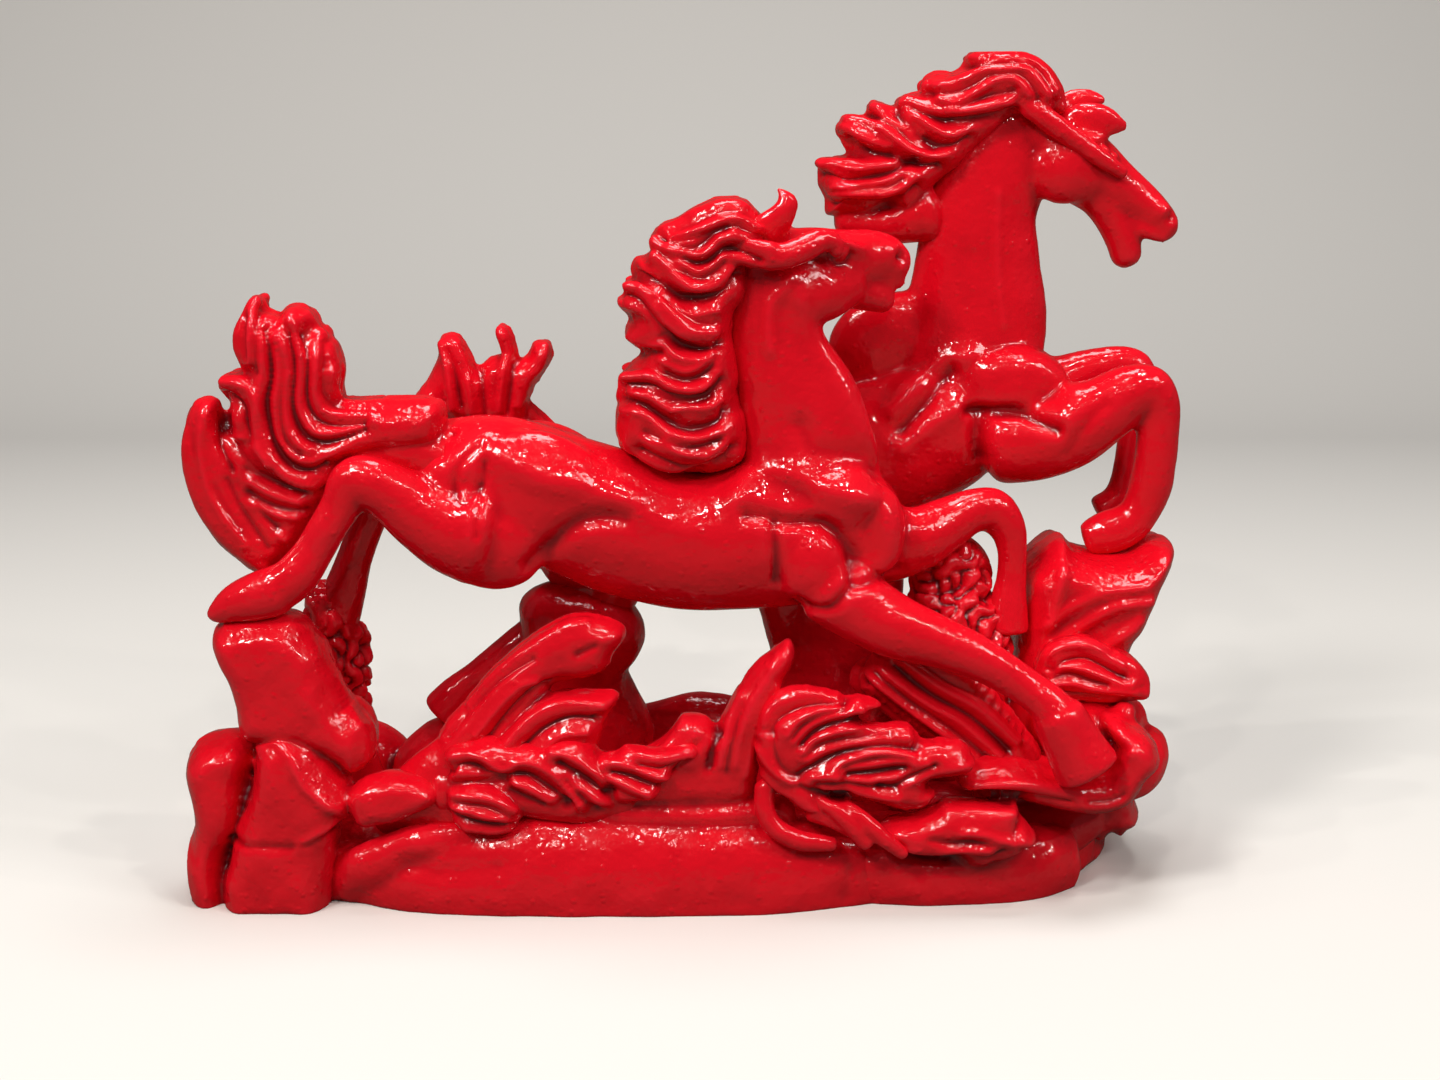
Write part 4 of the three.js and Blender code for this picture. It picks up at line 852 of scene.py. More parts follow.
frontTail = {
    "cushion": ([[-125, 53], [-127, 55], [-127, 59], [-126, 64], [-127, 68], [-128, 73], [-131, 77],
                 [-134, 80], [-136, 84], [-138, 87], [-141, 89], [-144, 89], [-147, 87], [-148, 84],
                 [-149, 85], [-153, 87], [-155, 90], [-158, 92], [-160, 90], [-162, 86], [-164, 80],
                 [-165, 74], [-165, 69], [-163, 65], [-162, 64], [-167, 63], [-171, 62], [-173, 59],
                 [-173, 57], [-171, 55], [-169, 52], [-170, 46], [-167, 39], [-165, 33], [-161, 27],
                 [-154, 23], [-145, 19], [-135, 19], [-128, 24], [-123, 30], [-110, 32], [-97, 34],
                 [-89, 39], [-89, 52], [-104, 54], [-115, 53]], -21, 11, 10),
    "core": [[-84, -2, 28, 14, 14], [-104, -5, 34, 13, 13], [-122, -5, 34, 12, 12], [-138, -5, 36, 10, 12]],
    "lobes": [
        [[-159, -12, 66, 3, 4], [-161, -14, 76, 3.5, 4.5], [-158, -13, 85, 3, 4], [-157, -12, 90, 2, 2.4]],
        [[-168, -14, 60, 3, 3.5], [-161, -17, 59, 3.5, 4], [-157, -18, 52, 3.5, 4], [-157, -18, 42, 3, 4]],
        [[-143, -12, 85, 3, 3.5], [-140, -15, 76, 3.5, 4], [-138, -16, 64, 3.5, 4]],
        [[-149, -17, 48, 3, 3.5], [-146, -18, 38, 3.5, 4], [-138, -18, 32, 3.5, 4], [-128, -17, 36, 3, 4]],
    ],
    "skirt": ([[-178, 54], [-183, 51], [-186, 44], [-186, 34], [-186, 24], [-184, 15], [-181, 6],
               [-175, -3], [-168, -9], [-161, -14], [-155, -12], [-145, -3], [-137, 9], [-130, 19],
               [-136, 26], [-147, 28], [-156, 34], [-164, 38], [-170, 44], [-172, 49], [-174, 53]],
              -17, 4, 9),
    "leaf": [[-178, -8, 50, 5, 5], [-181, -10, 38, 6, 6], [-180, -11, 26, 6, 7], [-175, -12, 12, 6, 7],
             [-167, -12, 0, 6, 6], [-158, -12, -9, 4, 4]],
    "strokes": [
        ("crest", [[-132.5, 79], [-130, 73], [-128.5, 67.5], [-129, 62], [-129, 57.5], [-127, 54],
                   [-121.5, 51.5], [-112.5, 52]]),
        ("groove", [[-131, 75], [-130.5, 69.5], [-131, 63], [-131, 57.5], [-128.5, 53], [-123.5, 50.5],
                    [-112.5, 50.5]]),
        ("crest", [[-138, 85], [-134.5, 80.5], [-133.5, 73], [-134, 66], [-134.5, 58.5], [-133.5, 54],
                   [-131, 50], [-125.5, 48.5], [-114.5, 49]]),
        ("gully", [[-137.5, 79], [-136, 73], [-136.5, 65], [-137, 57.5], [-136, 51.5], [-132.5, 47],
                   [-125.5, 45.5], [-116.5, 46.5]]),
        ("crest", [[-142.5, 85], [-140.5, 79], [-139.5, 72.5], [-139, 66], [-140, 58.5], [-140.5, 52.5],
                   [-138.5, 47], [-135, 42.5], [-129.5, 42], [-122, 43.5], [-112.5, 46.5]]),
        ("gully", [[-143, 79], [-141.5, 71.5], [-141.5, 64], [-142.5, 54.5], [-141.5, 48], [-138.5, 42],
                   [-133.5, 39], [-126, 39.5], [-116.5, 43.5]]),
        ("crest", [[-146, 82.5], [-144.5, 73], [-143.5, 66], [-144.5, 58.5], [-145, 51], [-144.5, 44],
                   [-141.5, 39], [-137.5, 36]]),
        ("groove", [[-147.5, 75], [-145.5, 69], [-146, 60], [-147, 51.5], [-146.5, 44], [-144.5, 38],
                    [-140.5, 34]]),
        ("crest", [[-150, 82.5], [-148, 77], [-147, 69.5], [-147.5, 62], [-149, 54.5], [-149, 47],
                   [-148, 40.5], [-145, 35.5], [-141, 32.5], [-135.5, 31.5], [-130, 34], [-124, 37.5]]),
        ("gully", [[-151.5, 80.5], [-150.5, 73], [-150, 64], [-152, 54.5], [-151.5, 47], [-150, 39.5],
                   [-147, 33.5], [-143, 29.5], [-137, 28], [-131, 30]]),
        ("crest", [[-153, 83.5], [-152.5, 75], [-153, 66], [-154.5, 56.5], [-154.5, 49], [-153, 40.5],
                   [-150, 33], [-145, 26.5], [-137, 23], [-130.5, 24.5]]),
        ("groove", [[-154.5, 88], [-154.5, 80.5], [-155.5, 72.5], [-155.5, 65]]),
        ("crest", [[-156, 90.5], [-157, 84.5], [-157.5, 77], [-157.5, 69]]),
        ("groove", [[-159, 85], [-159.5, 77.5], [-159.5, 70.5]]),
        ("crest", [[-169, 60.5], [-163, 60.5], [-158.5, 58.5], [-156.5, 54], [-157, 47], [-156, 39.5],
                   [-152.5, 31]]),
        ("gully", [[-169, 56], [-165, 54.5], [-161, 51], [-160, 45], [-159.5, 39.5]]),
        ("crest", [[-165, 40.5], [-159.5, 39.5], [-155.5, 35], [-150.5, 29.5], [-144.5, 24.5],
                   [-137, 21.5]]),
        ("gully", [[-170, 47.5], [-170.5, 39], [-168.5, 31], [-164.5, 22], [-158.5, 13.5], [-152, 5.5]]),
        ("crest", [[-176.5, 50], [-178.5, 39], [-178, 28.5], [-175.5, 18.5], [-170, 8.5], [-163, -1]]),
        ("groove", [[-169, 24], [-165, 14.5], [-159.5, 5], [-155, -2]]),
        ("crest", [[-166, 25], [-161, 16.5], [-155, 8], [-149, 1]]),
        ("crest", [[-160, 23], [-155.5, 20], [-150, 17.5], [-143, 15.5]]),
        ("groove", [[-161.5, 28], [-155, 25], [-147.5, 21.5], [-140.5, 19.5]]),
        ("groove", [[-161, 19.5], [-154.5, 15], [-146.5, 12.5], [-139.5, 12.5]]),
        ("crest", [[-159, 14.5], [-152, 11], [-144.5, 9.5]]),
    ],
    "plane": -5,
    "fade": 5.0,
}

castHair("front_tail_hair", frontTail,
         [loft(frontTail["core"]), pillow(*frontTail["skirt"]), *lobeForms(frontTail),
          loft(frontTail["leaf"])],
         frontMiddle, ["front_tail", "front_tail_skirt"])

rearTail = {
    "cushion": ([[-109, 47], [-103, 56], [-99, 64], [-98, 71], [-96, 74], [-91, 74], [-86, 67], [-83, 61],
                 [-77, 65], [-72, 67], [-75, 75], [-73, 78], [-69, 76], [-67, 69], [-66, 64], [-62, 66],
                 [-60, 71], [-57, 72], [-54, 71], [-52, 66], [-55, 60], [-60, 53], [-63, 45], [-65, 38],
                 [-74, 36], [-90, 38], [-104, 42]], -9, 11, 8),
    "locks": [
        (7, 11, [[-56, 0, 14], [-74, 0, 28], [-86, 0, 42], [-92, 0, 54]]),
        (7, 11, [[-46, 3, 14], [-60, 3, 30], [-70, 3, 42], [-74, 3, 52]]),
    ],
    "combing": {
        "grooves": 9,
        "depth": 0.3,
        "width": 0.42,
        "drift": 0.6,
        "root": 1,
        "tip": 0.8,
        "seed": 91,
    },
    "strokes": [
        ("crest", [[-97, 70.5], [-94.5, 63.5], [-93.5, 55], [-93, 45]]),
        ("groove", [[-94, 68.5], [-91, 59], [-89, 46]]),
        ("crest", [[-91, 70.5], [-87, 61], [-85.5, 51], [-84.5, 43.5]]),
        ("groove", [[-81, 59.5], [-80, 52.5], [-79.5, 42]]),
        ("crest", [[-73, 76.5], [-71, 67.5], [-72, 57], [-74, 44]]),
        ("groove", [[-67.5, 62], [-68.5, 54.5], [-70, 43.5]]),
        ("crest", [[-55, 69.5], [-56.5, 63], [-62, 56], [-66, 46]]),
    ],
    "plane": 1,
    "fade": 4.0,
}

castHair("rear_tail_hair", rearTail,
         [lock(path, thick, wide, rearTail["combing"], seed)
          for seed, (thick, wide, path) in enumerate(rearTail["locks"], rearTail["combing"]["seed"])],
         rearMiddle, ["rear_tail"])


# Tufts and the crest, measured like the frame: each is a root, cushions and ropes, and its strokes
# fade towards plane, a place in y.

tufts = {
    "crest": {
        "plane": -44,
        "root": [[-114, -40, 34, 8, 10], [-92, -43, 42, 11, 20], [-68, -43, 50, 11, 24],
                 [-44, -40, 46, 9, 20], [-34, -38, 38, 7, 12]],
        "cushions": [
            ([[-104, 44], [-96, 58], [-89, 72], [-80, 81], [-72, 91], [-59, 103], [-45, 112], [-35, 114],
              [-25, 112], [-20, 108], [-21, 104], [-25, 99], [-28, 93], [-37, 89], [-47, 87], [-57, 76],
              [-67, 62], [-80, 48]], -53, -32, 9),
            ([[-84, 50], [-74, 64], [-68, 70], [-60, 77], [-50, 83], [-38, 85], [-28, 85], [-23, 84],
              [-24, 80], [-27, 75], [-30, 67], [-33, 61], [-46, 56], [-60, 50]], -56, -36, 8),
        ],
        "strokes": [
            ("crest", [[-77, 69], [-69, 79], [-60, 88], [-54, 90]]),
            ("gully", [[-72, 68], [-63, 79], [-53, 87], [-45, 88], [-35, 88]]),
            ("crest", [[-65, 66], [-57, 75], [-47, 81], [-37, 82], [-29, 81]]),
            ("gully", [[-58, 66], [-50, 73], [-40, 77], [-31, 76]]),
            ("crest", [[-52, 64], [-44, 70], [-35, 71]]),
            ("crest", [[-80, 80], [-70, 91], [-58, 101], [-44, 110], [-35, 112]]),
            ("groove", [[-38, 101], [-31, 104]]),
            ("groove", [[-88, 68], [-78, 80], [-66, 92], [-55, 99]]),
        ],
    },
    "left_tuft": {
        "plane": -48,
        "root": [[-90, -48, 46, 8, 10], [-66, -50, 48, 9, 11], [-40, -50, 44, 8, 11], [-20, -48, 42, 6, 9]],
        "cushions": [
            ([[-89, 59], [-87, 64], [-82, 66], [-75, 68], [-65, 67], [-60, 66], [-50, 67], [-44, 69],
              [-36, 68], [-30, 62], [-26, 56], [-24, 50], [-25, 44], [-28, 41], [-32, 41], [-34, 39],
              [-39, 39], [-43, 42], [-47, 41], [-51, 43], [-57, 45], [-63, 48], [-66, 51], [-72, 51],
              [-79, 51], [-86, 51], [-89, 54]], -61, -40, 6),
            ([[-32, 60], [-25, 62], [-16, 64], [-7, 63], [5, 65], [8, 62], [5, 59], [-2, 55], [-4, 50],
              [-8, 45], [-14, 43], [-22, 43], [-27, 47], [-30, 53]], -60, -44, 5),
            ([[-88, 46], [-86, 50], [-79, 53], [-71, 52], [-65, 49], [-61, 44], [-60, 38], [-62, 33],
              [-68, 31], [-75, 31], [-83, 33], [-87, 38]], -63, -46, 8),
        ],
        "strokes": [
            ("crest", [[-87.5, 61], [-84, 63], [-78.5, 63.5], [-74, 62.5], [-70.5, 60], [-67, 58],
                       [-64, 58], [-60.5, 60.5], [-56, 60.5], [-50, 58], [-46, 55], [-41.5, 50],
                       [-37.5, 44]]),
            ("gully", [[-87.5, 55.5], [-84, 59.5], [-79, 60], [-74.5, 58.5], [-71, 55.5], [-66, 54.5],
                       [-61.5, 56], [-56, 55.5], [-50.5, 52], [-46, 48.5], [-42, 44]]),
            ("crest", [[-62.5, 53], [-58, 51.5], [-53, 48.5], [-49, 45.5]]),
            ("groove", [[-63.5, 49.5], [-57, 46], [-51, 43.5]]),
            ("crest", [[-47.5, 64], [-42.5, 63.5], [-37.5, 61], [-33, 57.5], [-28.5, 53]]),
            ("gully", [[-44.5, 60.5], [-40, 57.5], [-35, 54.5], [-30, 51], [-26, 47.5]]),
            ("crest", [[-38, 51], [-34.5, 49.5], [-30.5, 46], [-26, 43.5]]),
            ("groove", [[-42.5, 53.5], [-38.5, 49.5], [-35, 45], [-30.5, 41.5]]),
            ("crest", [[-28.5, 59.5], [-22, 59.5], [-15, 57.5], [-9.5, 55.5], [-5, 53.5]]),
            ("gully", [[-25, 56.5], [-18, 55], [-12.5, 52.5], [-6, 50]]),
            ("crest", [[-27, 55.5], [-22, 53], [-17.5, 50.5], [-11.5, 47.5]]),
            ("groove", [[-25.5, 50.5], [-20, 47.5], [-14.5, 45.5]]),
            ("crest", [[-20, 63.5], [-12.5, 62], [-6, 61.5], [4.5, 64]]),
            ("gully", [[-14, 59.5], [-6.5, 58], [3, 59]]),
            ("crest", [[-85, 47.5], [-79.5, 47.5], [-73, 47], [-67.5, 45], [-62.5, 41.5]]),
            ("groove", [[-84, 45.5], [-79, 45], [-72, 44], [-66.5, 41.5], [-62.5, 38]]),
            ("crest", [[-85, 43], [-79, 42], [-73.5, 40], [-67.5, 39], [-62.5, 37]]),
            ("gully", [[-85.5, 39.5], [-79, 37.5], [-72, 36], [-63, 35.5]]),
            ("crest", [[-80.5, 34.5], [-71.5, 33.5], [-64.5, 33.5]]),
        ],
    },
    "fan_tuft": {
        "plane": -48,
        "root": [[44, -50, 56, 7, 12], [66, -50, 56, 8, 14], [90, -49, 52, 8, 11]],
        "cushions": [
            ([[30, 68], [31, 76], [35, 82], [40, 86], [48, 88], [57, 87], [65, 85], [73, 84], [77, 81],
              [72, 79], [70, 75], [76, 73], [86, 73], [91, 70], [93, 68], [101, 68], [107, 67], [111, 63],
              [112, 56], [109, 54], [101, 53], [96, 52], [95, 49], [98, 47], [98, 45], [94, 41], [86, 40],
              [77, 43], [67, 46], [61, 47], [55, 45], [55, 41], [52, 39], [46, 41], [41, 45], [35, 50],
              [32, 56], [30, 62]], -62, -44, 9),
        ],
        "ropes": [
            [[33, -55, 49, 4, 4], [33, -57, 41, 4, 4], [36, -58, 35, 4, 4], [41, -59, 31.5, 3.8, 4],
             [47, -59, 29, 3.8, 4], [53, -58, 28, 3.4, 3.6], [59, -57, 27, 3, 3]],
            [[55, -57, 46, 3, 3.4], [60, -59, 42, 3.4, 3.8], [65, -60, 37, 3.4, 3.8],
             [69, -60, 32, 3.2, 3.6], [72, -60, 28, 2.6, 3]],
            [[63, -57, 43, 3, 3], [69, -59, 38.5, 3.2, 3.6], [75, -60, 33.5, 3.2, 3.6],
             [80, -60, 29, 3.2, 3.4], [86, -59, 24, 2.6, 2.8]],
            [[51, -56, 39, 3, 3.4], [58, -57, 37, 3, 3.4], [66, -58, 33, 3, 3.2]],
        ],
        "strokes": [
            ("crest", [[32, 71], [33.5, 79], [37, 83.5], [42, 86.5], [49.5, 87], [60, 85.5]]),
            ("gully", [[34, 73], [36.5, 77.5], [40.5, 80.5], [46, 83], [53.5, 84.5], [63, 83.5]]),
            ("crest", [[41.5, 72], [45.5, 77.5], [51.5, 81], [59, 82.5], [68, 83]]),
            ("groove", [[43.5, 71], [47, 75.5], [53.5, 79], [62, 81]]),
            ("crest", [[44.5, 69.5], [48.5, 74], [53.5, 77.5], [61, 79.5], [69.5, 80.5]]),
            ("gully", [[47, 68.5], [51.5, 73], [57.5, 76], [65, 77.5], [73, 76.5]]),
            ("crest", [[47.5, 65.5], [50.5, 69.5], [55, 72], [62, 74], [69.5, 73.5], [78, 72.5],
                       [86.5, 72]]),
            ("groove", [[48.5, 63.5], [53.5, 68], [60.5, 70], [69.5, 71], [80, 71]]),
            ("crest", [[49.5, 62], [54.5, 65], [61, 67], [68.5, 68.5], [78, 70], [87.5, 69]]),
            ("gully", [[45.5, 56], [50.5, 59.5], [56.5, 63], [63, 65.5], [69.5, 67], [78, 68],
                       [89.5, 66.5]]),
            ("crest", [[57.5, 57], [62, 61], [67, 63], [72.5, 64.5], [80, 65], [88.5, 63.5]]),
            ("groove", [[63, 59.5], [69, 61.5], [76.5, 63], [86, 62.5]]),
            ("crest", [[60, 56], [65, 59], [72.5, 60], [82, 61.5], [89, 60.5]]),
            ("gully", [[64.5, 56.5], [71, 57], [78.5, 58], [86, 59]]),
            ("crest", [[51, 55.5], [59.5, 55], [67, 54.5], [74.5, 54], [82, 55.5], [88.5, 57.5],
                       [94.5, 60]]),
            ("groove", [[53, 52.5], [61.5, 53], [69, 52], [76.5, 50.5]]),
            ("crest", [[55.5, 50.5], [63.5, 50.5], [69, 49], [76, 47.5], [83.5, 46.5]]),
            ("gully", [[76.5, 51.5], [82, 51.5], [86.5, 54.5], [91, 57], [97, 59]]),
            ("crest", [[85, 52], [91, 54.5], [97, 57], [104.5, 58.5], [111, 59]]),
            ("gully", [[46.5, 52], [51, 49.5], [55.5, 48], [63.5, 47.5]]),
            ("crest", [[33, 54.5], [38, 50.5], [43.5, 47.5], [48, 43.5], [53, 41]]),
            ("crest", [[31, 65.5], [34, 60.5], [38, 56.5], [43, 53.5], [49.5, 52]]),
            ("groove", [[36, 72], [36.5, 66.5], [38.5, 60.5], [42.5, 56]]),
        ],
    },
    "slope_tuft": {
        "plane": -28,
        "root": [[74, -20, 84, 8, 8], [98, -28, 70, 8, 10], [126, -34, 56, 7, 7]],
        "cushions": [
            ([[78, 97], [87, 100], [101, 95], [118, 84], [136, 64], [143, 52], [133, 47], [115, 42],
              [106, 52], [95, 62], [80, 74], [71, 83]], -40, -15, 8),
        ],
        "strokes": [
            ("crest", [[75, 87], [88, 76], [103, 65], [119, 53]]),
            ("groove", [[77, 89], [90, 78], [106, 67], [121, 55]]),
            ("crest", [[79, 91], [93, 80], [110, 70], [125, 57]]),
            ("gully", [[83, 93], [96, 82], [113, 72], [128, 59]]),
            ("crest", [[85, 96], [100, 85], [117, 75], [131, 62]]),
            ("groove", [[88, 98], [103, 87], [120, 78], [135, 64]]),
            ("crest", [[91, 100], [106, 90], [124, 81], [138, 67]]),
            ("gully", [[72, 84], [84, 74], [99, 63], [114, 50]]),
            ("strand", [[76, 92], [90, 82], [100, 75]]),
        ],
    },
    "cliff_tuft": {
        "plane": -18,
        "root": [[146, -14, 80, 7, 10], [158, -15, 80, 8, 12], [172, -14, 76, 7, 9]],
        "cushions": [
            ([[142, 79], [142, 87], [144, 94], [151, 98], [160, 99], [167, 96], [172, 93], [179, 90],
              [184, 83], [185, 76], [181, 73], [172, 72], [160, 73], [148, 74]], -30, -8, 6),
        ],
        "ropes": [
            [[143, -22, 84, 3, 3.4], [146, -24, 92, 3.2, 3.6], [153, -25, 96, 3.2, 3.6],
             [161, -25, 96, 3.2, 3.6], [168, -23, 92, 3, 3.2], [174, -20, 87, 2.4, 2.6]],
        ],
        "strokes": [
            ("crest", [[143, 86.5], [145, 93], [150.5, 97], [158.5, 97.5], [164.5, 95], [172.5, 89]]),
            ("gully", [[146, 88], [151, 92], [158.5, 93], [165.5, 90], [173.5, 85.5]]),
            ("crest", [[145, 87], [150, 90], [156.5, 89], [162.5, 87], [168.5, 84.5], [176.5, 82.5]]),
            ("groove", [[147, 85], [153, 87], [160, 84.5], [167, 82.5]]),
            ("crest", [[147.5, 83], [155, 82.5], [162, 80.5], [169.5, 80], [178.5, 79]]),
            ("gully", [[149.5, 78], [157, 77], [167, 76], [179, 74.5]]),
            ("crest", [[171.5, 92], [178, 89], [183, 83], [183, 77.5]]),
        ],
    },
}

tuftFade = 3.0
for name, tuft in tufts.items():
    forms = [loft(tuft["root"]), *[pillow(*cushion) for cushion in tuft["cushions"]],
             *[loft(rope, steps=50) for rope in tuft.get("ropes", ())]]
    casting(name + "_locks", forms, [name], tuftEnamel, hairSkin["grain"], hairSkin["melt"],
            combed(np.array([0, tuft["plane"], 0]), tuft["strokes"], tuftFade))


# Rocks, measured like the frame. Lines run through space, each with its width and depth; strokes are
# cut into the skin in front of frontOf, a place in y; a crust is a centre and radii; swell is a share
# of the usual height.

# Swells, dents, knots and pits each have a height and a length
rockSkin = {"melt": 5, "swells": (0.9, 28), "dents": (0.18, 10)}
coral = {"knots": (2.0, 9.5), "pits": (3.2, 8.5), "pitWidth": 0.24, "lift": 1.0, "waves": 24}


def coralCrust(points, centre, radii, seed):
    # smooth knots with pits between them, full within 0.7 of the radii and gone beyond 1.2 of them
    mask = np.clip(2.4 - 2 * np.linalg.norm((points - centre) / radii, axis=1), 0, 1)
    (rise, knotSize), (sink, pitSize) = coral["knots"], coral["pits"]
    knots = waves(points, knotSize, seed, coral["waves"])
    pits = waves(points, pitSize, seed + 1, coral["waves"])
    pitted = sink * np.exp(-((pits / coral["pitWidth"]) ** 2))
    return mask * (rise * np.clip(knots, -0.2, 0.7) - pitted + coral["lift"])


def castRocks(name, rocks, forms, nodes):
    # soft swellings and dents, ridges and furrows drawn along lines, strokes and crusts
    (height, length), (dent, short) = rockSkin["swells"], rockSkin["dents"]
    seed = rocks["seed"]

    def detail(points, normals):
        push = uneven(points, [(rocks["swell"] * height, length, seed + 1), (dent, short, seed + 2)])
        for line, width, depth in rocks.get("lines", ()):
            push += nearness(points, line, width) * depth
        if "strokes" in rocks:
            front = np.where(points[:, 1] < rocks["frontOf"])[0]
            push[front] += carved(points[front], rocks["strokes"])
        for centre, radii in rocks.get("crust", ()):
            push += coralCrust(points, centre, radii, seed + 5)
        return points + normals * push[:, None]

    casting(name, forms, nodes, rockEnamel, rocks["grain"], rockSkin["melt"], detail)


leftRocks = {
    "pillar": ([[-176, 108], [-171, 112], [-161, 114], [-151, 114], [-145, 112], [-140, 106], [-136, 100],
                [-133, 92], [-130, 84], [-126, 77], [-121, 73], [-118, 68], [-118, 59], [-122, 53],
                [-127, 52], [-132, 57], [-140, 61], [-147, 63], [-158, 64], [-166, 65], [-169, 71],
                [-170, 80], [-172, 88], [-175, 95], [-177, 102]], -58, -24, 9),
    "inner": ([[-161, 64], [-158, 67], [-151, 70], [-142, 69], [-137, 64], [-132, 57], [-127, 49],
               [-125, 42], [-127, 38], [-130, 35], [-132, 25], [-134, 10], [-138, -7], [-153, -7],
               [-168, -7], [-175, -7], [-177, 9], [-174, 18], [-170, 32], [-165, 45], [-163, 56]],
              -62, -27, 10),
    "outer": ([[-191, 54], [-189, 59], [-184, 64], [-174, 66], [-168, 64], [-165, 59], [-166, 49],
               [-167, 40], [-170, 29], [-174, 21], [-176, 11], [-177, -7], [-188, -7], [-193, 11],
               [-193, 19], [-190, 27], [-189, 36], [-190, 46]], -57, -17, 10),
    "leaf": ([[-126, 46], [-121, 51], [-111, 54], [-102, 53], [-94, 49], [-92, 44], [-95, 40], [-101, 37],
              [-112, 34], [-122, 33], [-125, 38]], -61, -40, 6),
    "column": [[-135, 2, 12, 17, 19], [-137, 0, 42, 12, 14], [-136, -1, 62, 10, 10], [-137, -3, 74, 9, 9],
               [-135, -4, 84, 10, 10], [-139, -6, 98, 11, 11], [-141, -8, 108, 10, 9],
               [-144, -8, 115, 7, 6]],
    "strokes": [
        ("crest", [[-170.5, 111.5], [-160.5, 113], [-150.5, 113.5], [-144.5, 111], [-140, 105.5],
                   [-136, 98], [-132, 89], [-128, 79.5], [-123, 71.5]]),
        ("crest", [[-127, 76.5], [-122.5, 72.5], [-120, 67.5], [-120, 59.5]]),
        ("crest", [[-159.5, 64], [-152, 67], [-146.5, 63.5], [-144, 57.5], [-141.5, 52], [-136, 46],
                   [-130.5, 41]]),
        ("groove", [[-173, 27.5], [-159.5, 27.5], [-144.5, 27.5], [-132.5, 32]]),
        ("crest", [[-144.5, 27.5], [-134.5, 34], [-128, 38.5]]),
    ],
    "frontOf": -30,
    "crust": [([-134, -4, 84], [26, 20, 36])],
    "swell": 0.7,
    "grain": 1.0,
    "seed": 21,
}

castRocks("left_rocks", leftRocks,
          [*[pillow(*leftRocks[part]) for part in ("pillar", "inner", "outer", "leaf")],
           loft(leftRocks["column"])],
          ["left_pillar", "left_outer_boulder", "left_inner_boulder", "left_small_boulder", "left_column"])


def groundForm(outline, rings, top):
    # an outline carried upwards as rings of [height, share of its size], closed below and at top
    rim = loopThrough(outline, 120)
    rings = [np.column_stack([rim * share, np.full(len(rim), height)]) for height, share in rings]
    return closedForm(np.array(rings), np.array([0, 0, 0.0]), np.array([0, 0, top]))


frontBank = {
    "ground": [[-184, -16], [-180, -34], [-160, -46], [-120, -50], [-60, -52], [0, -52], [44, -50],
               [68, -44], [104, -44], [138, -36], [158, -24], [176, 4], [174, 36], [150, 50], [100, 55],
               [40, 57], [-40, 56], [-110, 54], [-158, 44], [-180, 16]],
    "rings": [(0, 0.99), (3, 1.0), (16, 0.995), (21, 0.975), (23, 0.94)],
    "top": 25.0,
    "bank": [[-120, -44, 10, 10, 14], [-98, -46, 8, 15, 23], [-60, -48, 7, 16, 29], [0, -48, 7, 16, 29],
             [34, -47, 7, 15, 27], [56, -43, 8, 14, 23], [72, -38, 8, 14, 19]],
    "flame": ([[-30, 52], [-15, 60], [-4, 66], [1, 72], [5, 75], [10, 74], [14, 71], [18, 75], [22, 82],
               [26, 90], [31, 97], [37, 100], [42, 105], [44, 98], [39, 86], [34, 74], [31, 62], [30, 46],
               [24, 41], [4, 40], [-23, 40]], -54, -33, 7),
    "forms": [
        [[-130, -46, 6, 6, 9], [-122, -50, 14, 7, 10], [-112, -52, 20, 7, 9], [-96, -52, 26, 7, 8],
         [-74, -50, 28, 6, 6]],
        [[-40, -44, 36, 8, 10], [-14, -46, 34, 8, 12], [14, -46, 34, 8, 12], [40, -44, 34, 7, 9]],
    ],
    "knob": ([3, -50, 60], [6, 6, 6]),
    "lines": [
        ([[-26, -52, 37], [10, -54, 37], [40, -52, 38]], 2.4, 1.0),
        ([[-104, -60, 20], [-90, -62, 17], [-70, -62, 19]], 5.0, -1.2),
        ([[70, -54, 30], [67, -58, 16], [64, -60, 0]], 3.4, -4.0),
    ],
    "strokes": [
        ("crest", [[21.5, 57.5], [23.5, 69], [26.5, 79.5], [31, 88], [38.5, 99]]),
        ("groove", [[18.5, 55.5], [20, 65], [23, 75], [27.5, 84.5], [33.5, 93.5]]),
        ("crest", [[16, 57.5], [18, 67], [20.5, 75], [24.5, 83.5]]),
        ("gully", [[12, 57.5], [13.5, 64.5], [15.5, 69.5]]),
        ("crest", [[25.5, 53.5], [28, 65.5], [32, 77.5], [37, 87.5]]),
        ("crest", [[-14.5, 55.5], [-7, 60.5], [-1, 67], [2.5, 72.5]]),
        ("groove", [[-9, 52.5], [-1, 57.5], [4.5, 63.5], [8.5, 67]]),
    ],
    "frontOf": -34,
    "swell": 0.4,
    "grain": 1.2,
    "seed": 31,
}

castRocks("front_bank_rock", frontBank,
          [groundForm(frontBank["ground"], frontBank["rings"], frontBank["top"]),
           loft(frontBank["bank"], steps=60), pillow(*frontBank["flame"]), ball(*frontBank["knob"]),
           *[loft(form, steps=60) for form in frontBank["forms"]]],
          ["ground", "front_bank", "middle_rock"])

